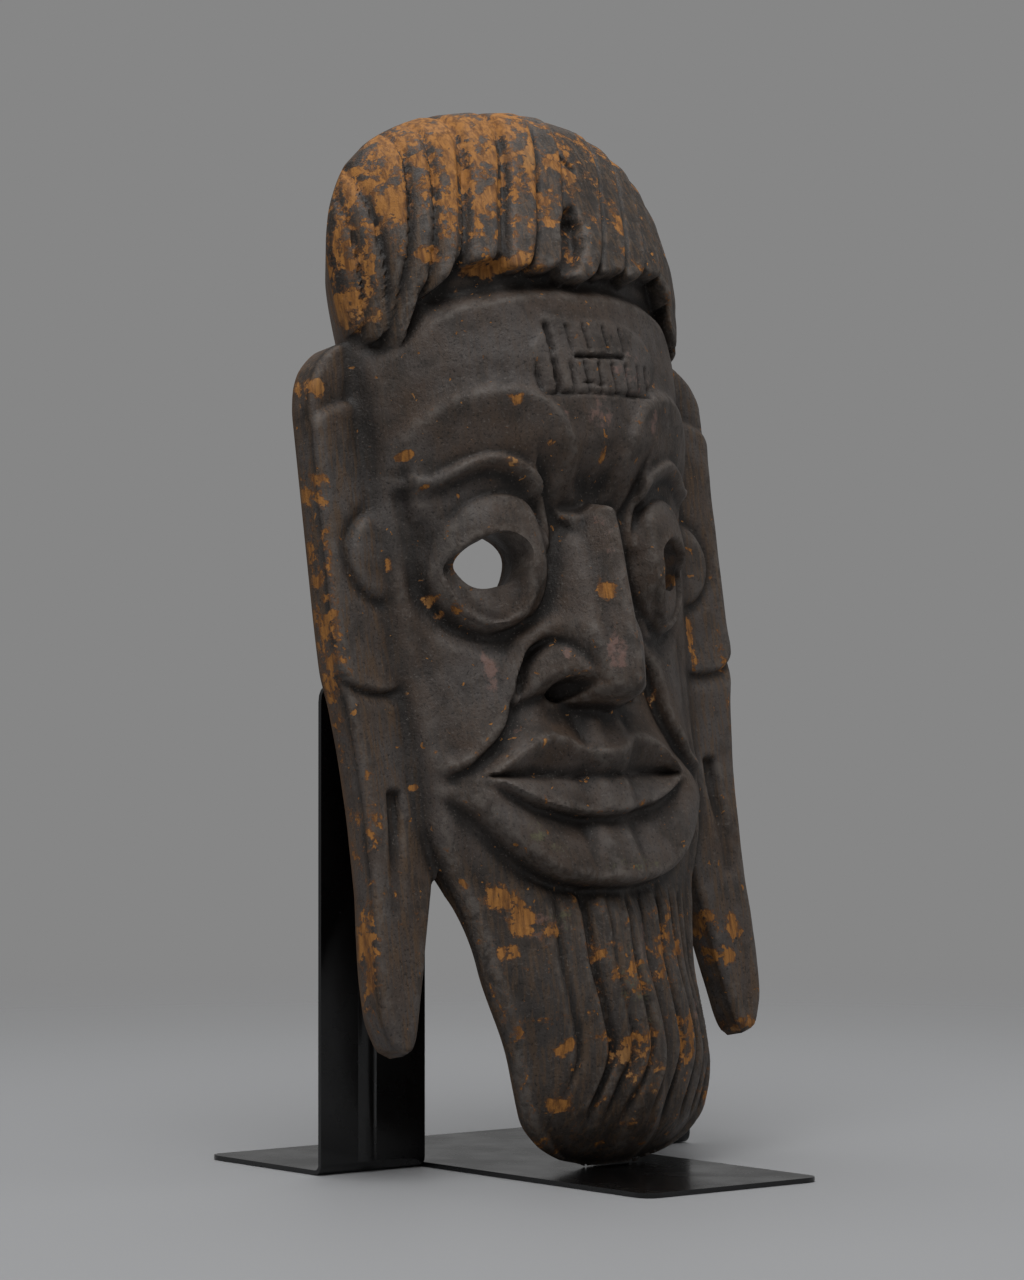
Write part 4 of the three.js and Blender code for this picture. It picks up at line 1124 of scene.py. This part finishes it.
@dataclass(frozen=True)
class BlackEnamel:
    """Smooth black enamel on sheet steel: a soft sheen, a thin film of dust and a few specks."""

    black: str = "#050506"
    dust: str = "#3a3a3c"

    def material(self) -> bpy.types.Material:
        """Build the material."""
        recipe = Recipe("black_enamel")
        recipe.spread_patterns(recipe.add("ShaderNodeTexCoord", None, "Object"), {
            "speck": Pattern(3, 3, 0.7),
            "film": Pattern(90, 4, 0.6),
            "smear": Pattern(40, 4, 0.6),
            "peel": Pattern(1.2, 2, 0.5),
        })
        dusty = {0: recipe.shown(Cover("speck", 0.70, 0.74, 0, 0.5)),
                 1: recipe.shown(Cover("film", 0.4, 0.8, 0, 0.05))}
        cover = recipe.add("ShaderNodeMath", dusty, operation="ADD", use_clamp=True)
        layers = {0: cover, 6: paint(self.black), 7: paint(self.dust)}
        return recipe.finish({
            "Base Color": recipe.add("ShaderNodeMix", layers, 2, data_type="RGBA"),
            "Roughness": recipe.shown(Cover("smear", 0.3, 0.7, 0.2, 0.32)),
            "Normal": recipe.relief(((recipe.source["peel"], 0.12, 0.06),)),
            "Specular IOR Level": 0.42, "Coat Weight": 0.12, "Coat Roughness": 0.12,
        })


@dataclass(frozen=True)
class PaleFloor:
    """A plain pale floor that fades out into the backdrop."""

    tone: str = "#a5a6a8"
    fades_from: float = 0.45
    gone_by: float = 1.5

    def material(self) -> bpy.types.Material:
        """Build the material."""
        recipe = Recipe("pale_floor")
        add = recipe.add
        place = add("ShaderNodeTexCoord", None, "Object")
        recipe.source["distance"] = add("ShaderNodeVectorMath", {0: place}, "Value", operation="LENGTH")
        surface = add("ShaderNodeBsdfPrincipled", {"Base Color": paint(self.tone), "Roughness": 0.6})
        faded = recipe.shown(Cover("distance", self.fades_from, self.gone_by))
        mixed = add("ShaderNodeMixShader", {0: faded, 1: surface, 2: add("ShaderNodeBsdfTransparent")})
        add("ShaderNodeOutputMaterial", {"Surface": mixed})
        return recipe.material


class GougeCuts:
    """Rows of shallow gouge cuts over a surface, as a modifier."""

    sockets: dict[str, str] = {
        "Width": "NodeSocketFloat", "Length": "NodeSocketFloat", "Depth": "NodeSocketFloat",
        "Seed": "NodeSocketInt", "Material": "NodeSocketMaterial",
    }

    def __init__(self) -> None:
        """Build the tree with its named inputs."""
        self.tree = bpy.data.node_groups.new("GougeCuts", "GeometryNodeTree")
        face = self.tree.interface
        face.new_socket("Geometry", in_out="OUTPUT", socket_type="NodeSocketGeometry")
        face.new_socket("Geometry", in_out="INPUT", socket_type="NodeSocketGeometry")
        self.keys = {
            name: face.new_socket(name, in_out="INPUT", socket_type=kind).identifier
            for name, kind in self.sockets.items()
        }
        add = partial(add_node, self.tree)
        given = self.tree.nodes.new("NodeGroupInput").outputs
        place, normal = add("GeometryNodeInputPosition"), add("GeometryNodeInputNormal")
        size = add("ShaderNodeCombineXYZ", {0: given["Width"], 1: given["Width"], 2: given["Length"]})
        scaled = add("ShaderNodeVectorMath", {0: place, 1: size}, operation="DIVIDE")
        shifted = add("ShaderNodeVectorMath", {0: scaled, 1: given["Seed"]}, operation="ADD")
        reach = add("ShaderNodeTexVoronoi", {"Vector": shifted, "Scale": 1.0}, "Distance")
        square = add("ShaderNodeMath", {0: reach, 1: 2.0}, operation="POWER")
        dip = add("ShaderNodeMath", {0: 0.5, 1: square}, operation="SUBTRACT", use_clamp=True)
        deep = add("ShaderNodeMath", {0: dip, 1: given["Depth"]}, operation="MULTIPLY")
        push = add("ShaderNodeVectorMath", {0: normal, "Scale": deep}, operation="SCALE")
        cut = add("GeometryNodeSetPosition", {"Geometry": given["Geometry"], "Offset": push})
        real = add("GeometryNodeRealizeInstances", {"Geometry": cut})
        dressed = add("GeometryNodeSetMaterial", {"Geometry": real, "Material": given["Material"]})
        add("NodeGroupOutput", {0: dressed})

    def carve(self, thing: bpy.types.Object, **sizes: float | bpy.types.Material) -> bpy.types.Object:
        """Cut the surface and make the result plain.

        Args:
            thing: The solid whose surface is cut.
            **sizes: The tree's inputs by name.

        Returns:
            The same object with its new mesh.
        """
        modifier = thing.modifiers.new("gouges", "NODES")
        modifier.node_group = self.tree
        for name, value in sizes.items():
            modifier[self.keys[name]] = value
        return flatten(thing)


# Pieces


@dataclass
class Mask:
    """The carved mask. Sizes are in mm, and depths run forward from the ears' back."""

    columns: int = 222
    rows: int = 440
    grid_span: Span = (-5.5, 507.5)
    reach_low: Points = ((30, 70), (70, 125))
    reach_high: Points = ((380, 125), (415, 108), (455, 104), (495, 70))
    relax_steps: int = 70
    steep_pull: float = 1.6
    most_pull: float = 4.0
    block_back: float = -30.0
    block_front: float = 120.0
    rim_back: float = -9.0
    flank_back: float = 14.0
    flank_taper: float = 15.0
    outline_spacing: float = 2.6
    ear_spacing: float = 2.4
    wall: float = 15.0
    hollow_span: Span = (112, 478)
    hollow_rows: int = 110
    hollow_columns: int = 60
    hollow_behind: float = -16.0
    eye: tuple[float, float] = (52.5, 277.0)
    hole_radius: float = 12.0
    hole_flare: float = 3.0
    hole_depths: tuple[float, ...] = (-20.0, 0.0, 30.0, 40.0, 45.0, 50.0, 110.0)
    sharp_above: float = 58.0
    outline: Outline = field(default_factory=Outline)

    def build(self) -> bpy.types.Object:
        """Carve the mask and dress it.

        Returns:
            The mask where it stands, as one mesh.
        """
        carving = Carving(Raster(), self.outline)
        log.info("front carved")
        material = AgedPaint().material()
        wood = combine(self.body(), self.front(carving), Join.KEEP)
        wood = combine(wood, self.hollow(material), Join.CUT)
        for side in (-1, 1):
            wood = combine(wood, self.eye_hole(side), Join.CUT)
        log.info("mask cut from the block: %d faces", len(wood.data.polygons))
        wood.name = "carved_mask"
        self.record_fields(wood, carving)
        self.set_on_stand(wood)
        dress(wood, material, self.sharp_above)
        return wood

    def front(self, carving: Carving) -> bpy.types.Object:
        """A block whose front is the carving.

        Args:
            carving: The depth map.

        Returns:
            The block, closed behind.
        """
        raster, rows, columns = carving.raster, self.rows, self.columns
        h = lerp(*self.grid_span, np.linspace(0, 1, rows))[:, None] * np.ones((1, columns))
        reach = np.where(h < 200, Curve(self.reach_low)(h), Curve(self.reach_high)(h))
        x = np.linspace(-1, 1, columns)[None, :] * reach
        up, across = np.gradient(raster.blur(carving.depth, 0.7), raster.step)
        pull = np.minimum(np.sqrt(1 + self.steep_pull * (up**2 + across**2)), self.most_pull)
        for _ in range(self.relax_steps):
            x, h = self.relax(x, h, raster.sample(pull, x, h))
        top = np.stack([x, -raster.sample(carving.depth, x, h), h], axis=-1).reshape(-1, 3)
        edge = np.concatenate([
            np.arange(columns),
            np.arange(2 * columns - 1, rows * columns, columns),
            np.arange(rows * columns - 2, (rows - 1) * columns - 1, -1),
            np.arange((rows - 2) * columns, 0, -columns),
        ])
        behind = top[edge].copy()
        behind[:, 1] = -self.block_back
        faces = grid_faces(rows, columns)
        base, total = rows * columns, len(edge)
        for i in range(total):
            j = (i + 1) % total
            faces.append((edge[j], edge[i], base + i, base + j))
        faces.append(tuple(base + i for i in reversed(range(total))))
        return mesh_object("front", np.vstack([top, behind]), faces)

    @staticmethod
    def relax(x: np.ndarray, h: np.ndarray, weight: np.ndarray) -> tuple[np.ndarray, np.ndarray]:
        """One step that draws a grid's points together where their weight is high."""
        inner, before, after = slice(1, -1), slice(None, -2), slice(2, None)
        near = ((before, inner), (after, inner), (inner, before), (inner, after))
        pulls = [weight[n] + weight[inner, inner] for n in near]
        total = sum(pulls)
        moved = []
        for grid in (x, h):
            out = grid.copy()
            out[inner, inner] = sum(p * grid[n] for p, n in zip(pulls, near)) / total
            moved.append(out)
        return moved[0], moved[1]

    def shell_outline(self, inset: float) -> np.ndarray:
        """Outline of the face and hair, drawn in by an inset in mm."""
        h = np.concatenate([
            -4 + 12 * np.linspace(0, 1, 24) ** 2,
            np.linspace(9, 480, 200),
            505 - 24 * np.linspace(1, 0, 50) ** 2,
        ])
        half = self.outline.face_width(h) * (1 - inset / 103)
        h = np.where(h < 250, h, 250 + (h - 250) * (1 - inset / 255))
        side = np.column_stack([half, h])
        ring = np.vstack([side, side[::-1] * (-1, 1)])
        return ring + np.column_stack([self.outline.sway(ring[:, 1]), np.zeros(len(ring))])

    def body(self) -> bpy.types.Object:
        """The mask's block, with its flat rim behind and the two ears."""
        flank = np.linspace(self.rim_back - 0.5, self.flank_back, 9)
        depths = np.concatenate([flank, np.linspace(17, 27, 5), [60, self.block_front]])
        count = len(evenly(self.shell_outline(0), self.outline_spacing))
        outlines = []
        for depth in depths:
            inset = self.flank_taper * max(0.0, (self.flank_back - depth) / (self.flank_back - self.rim_back))
            outlines.append(evenly(self.shell_outline(inset), self.outline_spacing, count))
        block = tube("block", outlines, depths)
        heights = np.linspace(-12, 512, 180)
        line = np.column_stack([heights, self.outline.back(heights)])
        loop = np.vstack([line, [[512, -60], [-12, -60]]])
        sides = [np.column_stack([np.full(len(loop), x), -loop[:, 1], loop[:, 0]]) for x in (-140.0, 140.0)]
        block = combine(block, mesh_object("behind", np.vstack(sides), ring_faces(2, len(loop))), Join.CUT)
        ear_depths = [*np.linspace(0, 20, 7), 60, self.block_front]
        for side in (-1, 1):
            ear = evenly(self.ear_outline() * (side, 1), self.ear_spacing)
            block = combine(block, tube("ear", [ear] * len(ear_depths), ear_depths), Join.ADD)
        return block

    def ear_outline(self) -> np.ndarray:
        """Outline of one ear, which runs into the face."""
        h = np.concatenate([
            53 + 20 * np.linspace(0, 1, 16) ** 2,
            np.linspace(76, 350, 70),
            389 - 38 * np.linspace(1, 0, 26) ** 1.6,
        ])
        outer = np.column_stack([self.outline.ear_outer(h), h])
        inner_h = np.linspace(389, 152, 30)
        inner = np.column_stack([self.outline.face_width(inner_h) - 8, inner_h])
        lobe_h = np.concatenate([np.linspace(143, 66, 30), 53.5 + 12 * np.linspace(1, 0, 12) ** 2])
        lobe = np.column_stack([self.outline.lobe_inner(lobe_h), lobe_h])
        return np.vstack([outer, inner, lobe])

    def hollow(self, material: bpy.types.Material) -> bpy.types.Object:
        """The hollow at the back, cut with a gouge."""
        rows, count, behind = self.hollow_rows, self.hollow_columns + 1, self.hollow_behind
        v = np.linspace(0, 1, rows + 1)[:, None]
        h = lerp(*self.hollow_span, 0.5 - 0.5 * np.cos(np.pi * v)) * np.ones((1, count))
        rounding = np.sqrt(np.clip(1 - np.abs(2 * v - 1) ** 5, 0, 1)) * np.ones_like(h)
        half = np.maximum(2, (self.outline.face_width(h) - self.wall) * lerp(0.1, 1, rounding))
        t = -np.cos(np.pi * np.linspace(0, 1, count))[None, :] * np.ones_like(h)
        floor = lerp(behind, self.outline.hollow(h), rounding)
        depth = lerp(behind, floor, np.clip(1 - np.abs(t) ** 3.2, 0, 1) ** 0.55)
        points = np.stack([half * t, -depth, h], axis=-1).reshape(-1, 3)
        faces = grid_faces(rows + 1, count)
        left = [r * count for r in range(rows + 1)]
        right = [corner + count - 1 for corner in left]
        top, bottom = list(range(left[-1] + 1, right[-1])), list(range(1, count - 1))
        faces.append(left + top + right[::-1] + bottom[::-1])
        bowl = mesh_object("hollow", points, faces)
        return GougeCuts().carve(bowl, Width=9.0, Length=26.0, Depth=1.6, Seed=7, Material=material)

    def eye_hole(self, side: int) -> bpy.types.Object:
        """The hole through one eye, opened a little towards the back."""
        turn = np.linspace(0, 2 * np.pi, 49)[:-1]
        wobble = 1 + 0.03 * np.sin(2 * turn + side) + 0.02 * np.sin(5 * turn)
        rings = []
        for depth in self.hole_depths:
            radius = self.hole_radius + self.hole_flare * ramp(50, 40, depth)
            ring = np.column_stack([1.06 * radius * wobble * np.cos(turn), radius * wobble * np.sin(turn)])
            rings.append(ring + (side * self.eye[0], self.eye[1]))
        return tube("eye_hole", rings, self.hole_depths)

    def record_fields(self, wood: bpy.types.Object, carving: Carving) -> None:
        """Store on each vertex what its paint, its wear, its painted shade and its painted highlight follow.

        Args:
            wood: The mask in its own layout, in mm.
            carving: The depth map and its fields.
        """
        raster, mesh = carving.raster, wood.data
        x, y, h = vertex_values(mesh).T
        depth, facing = -y, -vertex_values(mesh, "normal")[:, 1]
        surface = raster.sample(carving.depth, x, h)
        front = ramp(-3.0, -0.6, depth - surface)
        sunk = ramp(3.0, 9.0, surface - depth) * (np.abs(x) < 88) * (h > 105)
        back = (1 - front) * np.clip(ramp(0.1, 0.7, -facing) + sunk, 0, 1)
        inner = self.outline.face_width(h) - self.wall + 2
        back = np.where((np.abs(x) < inner) & (h > 108) & (depth < surface - 4), 1.0, back)
        from_eye = np.hypot(np.abs(x) - self.eye[0], h - self.eye[1])
        hole = (from_eye < self.hole_radius + 4.5) & (depth > 38)
        back = np.where(hole, 0.1, back)
        flank = (1 - front) * (1 - back)
        in_hole = hole * (1 - front)
        over_raster = self.paint_fields(carving)
        fields = {name: raster.sample(values, x, h) for name, values in over_raster.items()}
        # Flanks get a little of the ridges' wear and painted highlight; the eye holes' inner walls get
        # painted shade through the crevice field, and lose less paint so that they stay dark.
        fields["ridge"] = fields["ridge"] * front + 0.1 * flank
        fields["crevice_shade"] = np.maximum(fields["crevice_shade"] * front, 0.7 * in_hole)
        fields["lost"] += 0.03 * flank - 0.2 * in_hole
        fields["rose"] *= front
        fields["green"] *= front
        fields["back"] = back
        for name, values in fields.items():
            attribute = mesh.attributes.new(name, "FLOAT", "POINT")
            attribute.data.foreach_set("value", values.astype(np.float32))
        carved = mesh.attributes.new("carved", "FLOAT_VECTOR", "POINT")
        carved.data.foreach_set("vector", (np.column_stack([x, depth, h]) * MM).astype(np.float32).ravel())

    @staticmethod
    def paint_fields(carving: Carving) -> dict[str, np.ndarray]:
        """What the paint, the wear, the painted shade and the painted highlight follow over the whole front,
        by name;
        the hair's left side is most worn.
        """
        raster = carving.raster
        to_left = ramp(60, -60, raster.gx)
        crown = carving.on_hair * ramp(400, 470, raster.gh) * lerp(0.08, 0.29, to_left)
        base = 0.11 + crown + 0.09 * carving.on_beard + 0.06 * carving.on_hair
        lost = np.maximum(base + 0.10 * carving.ridge, 0.12 + stain(raster, LOST_PAINT))
        dark = carving.on_hair * lerp(0.8, 1.25, 1 - to_left) + 0.75 * carving.on_beard
        return {
            "ridge": carving.ridge,
            "crevice_shade": carving.crevice_shade,
            "dark": np.clip(dark, 0, 1.2),
            "lost": np.where(carving.on_ear > 0, np.maximum(lost, 0.1), lost),
            "grainy": np.clip(carving.on_ear + carving.on_hair + carving.on_beard * 0.6 + 0.25, 0, 1),
            "rose": stain(raster, PALE_RESIDUE),
            "green": stain(raster, GREEN_TRACE),
        }

    @staticmethod
    def set_on_stand(wood: bpy.types.Object) -> None:
        """Lean the mask back and set it where the CAD mask stands, no taller than that."""
        low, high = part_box("mask")
        mesh = wood.data
        mesh.transform(Matrix.Scale(MM, 4))
        mesh.transform(Matrix.Rotation(-LEAN, 4, "X"))
        _, y, z = vertex_values(mesh).T
        bottom, top = z.min(), z.max()
        mesh.transform(Matrix.Translation(Vector((0, high.y - y.max(), -bottom))))
        mesh.transform(Matrix.Scale(min(1.0, (high.z - low.z) / (top - bottom)), 4, Vector((0, 0, 1))))
        mesh.transform(Matrix.Translation(Vector((0, 0, low.z))))


@dataclass
class Stand:
    """The stand: the bent sheet of the CAD model, with the soft edges that enamel gives it."""

    merge_within: float = 0.01
    edge_radius: float = 0.35
    edge_steps: int = 2
    round_above: float = 50.0
    sharp_above: float = 60.0

    def build(self) -> bpy.types.Object:
        """Round the sheet's edges and dress it.

        Returns:
            The stand.
        """
        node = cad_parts["stand"]
        stand = bpy.data.objects.new("black_stand", node.data.copy())
        bpy.context.scene.collection.objects.link(stand)
        stand.data.transform(node.matrix_world)
        weld = stand.modifiers.new("merge", "WELD")
        weld.merge_threshold = self.merge_within * MM
        bevel = stand.modifiers.new("edges", "BEVEL")
        bevel.width = self.edge_radius * MM
        bevel.segments = self.edge_steps
        bevel.limit_method = "ANGLE"
        bevel.angle_limit = math.radians(self.round_above)
        bevel.use_clamp_overlap = True
        flatten(stand)
        dress(stand, BlackEnamel().material(), self.sharp_above)
        flat = stand.modifiers.new("flat_faces", "WEIGHTED_NORMAL")
        flat.keep_sharp = True
        flat.weight = 100
        return flatten(stand)


@dataclass(frozen=True)
class Lamp:
    """A square soft light: its place and size in metres, and its power in watts."""

    name: str
    place: tuple[float, float, float]
    size: float
    power: float


@dataclass
class Studio:
    """Floor, backdrop, lights and camera, in metres."""

    azimuth: float = -38.9
    elevation: float = -0.4
    distance: float = 2.0
    pivot: tuple[float, float, float] = (0.0, 0.0345, 0.240)
    lens: float = 116.7
    sensor: float = 36.0
    shift: float = 0.0159
    lit_point: tuple[float, float, float] = (0, 0, 0.28)
    lamps: tuple[Lamp, ...] = (
        Lamp("key", (-0.7, -0.75, 2.1), 1.3, 23.5),
        Lamp("fill", (1.5, -1.2, 1.2), 1.6, 3.0),
        Lamp("top", (0.2, 0.4, 2.2), 1.4, 14.0),
    )
    floor_rings: tuple[float, ...] = (0.3, 0.8, 2.0)
    floor_sides: int = 96
    floor_drop: float = 0.0002
    backdrop_grey: str = "#868686"

    def build(self) -> None:
        """Set up the studio."""
        self.floor()
        self.backdrop()
        for lamp in self.lamps:
            self.light(lamp)
        self.camera()

    def floor(self) -> None:
        """A wide pale floor."""
        turn = np.linspace(0, 2 * np.pi, self.floor_sides + 1)[:-1]
        rings = [np.column_stack([r * np.cos(turn), r * np.sin(turn), 0 * turn]) for r in self.floor_rings]
        floor = mesh_object("floor", np.vstack(rings), ring_faces(len(rings), self.floor_sides)[:-1])
        floor.location.z = -self.floor_drop
        floor.data.materials.append(PaleFloor().material())

    def backdrop(self) -> None:
        """A plain grey all round, which darkens towards what lies below."""
        world = bpy.data.worlds.new("backdrop")
        world.use_nodes = True
        tree = world.node_tree
        direction = add_node(tree, "ShaderNodeTexCoord", None, "Generated")
        height = add_node(tree, "ShaderNodeSeparateXYZ", {0: direction}, "Z")
        inputs = {"Value": height, "From Min": -0.6, "From Max": -0.12, "To Min": 0.25, "To Max": 1.0}
        background = tree.nodes["Background"].inputs
        background["Color"].default_value = paint(self.backdrop_grey)
        tree.links.new(add_node(tree, "ShaderNodeMapRange", inputs), background["Strength"])
        bpy.context.scene.world = world

    def light(self, lamp: Lamp) -> None:
        """Set up a lamp, aimed at the mask."""
        data = bpy.data.lights.new(lamp.name, "AREA")
        data.size = lamp.size
        data.energy = lamp.power
        light = bpy.data.objects.new(lamp.name, data)
        light.location = lamp.place
        light.rotation_mode = "QUATERNION"
        light.rotation_quaternion = (Vector(self.lit_point) - light.location).to_track_quat("-Z", "Y")
        bpy.context.scene.collection.objects.link(light)

    def camera(self) -> None:
        """The photograph's view: from the mask's right, level with its mouth."""
        turn, tilt = math.radians(self.azimuth), math.radians(self.elevation)
        back = Vector((math.sin(turn) * math.cos(tilt), -math.cos(turn) * math.cos(tilt), math.sin(tilt)))
        data = bpy.data.cameras.new("camera")
        data.lens = self.lens
        data.sensor_width = self.sensor
        data.shift_y = self.shift
        camera = bpy.data.objects.new("camera", data)
        camera.location = Vector(self.pivot) + back * self.distance
        camera.rotation_mode = "QUATERNION"
        camera.rotation_quaternion = (-back).to_track_quat("-Z", "Y")
        bpy.context.scene.collection.objects.link(camera)
        bpy.context.scene.camera = camera


def main() -> None:
    """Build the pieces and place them."""
    bpy.context.scene.view_settings.view_transform = "Standard"
    Studio().build()
    mask = Mask().build()
    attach(mask, "root")
    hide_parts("mask")
    log.info("carved_mask: %d triangles", sum(len(p.vertices) - 2 for p in mask.data.polygons))
    stand = Stand().build()
    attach(stand, "root")
    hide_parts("stand")
    log.info("black_stand: %d triangles", sum(len(p.vertices) - 2 for p in stand.data.polygons))


if __name__ == "__main__":
    main()
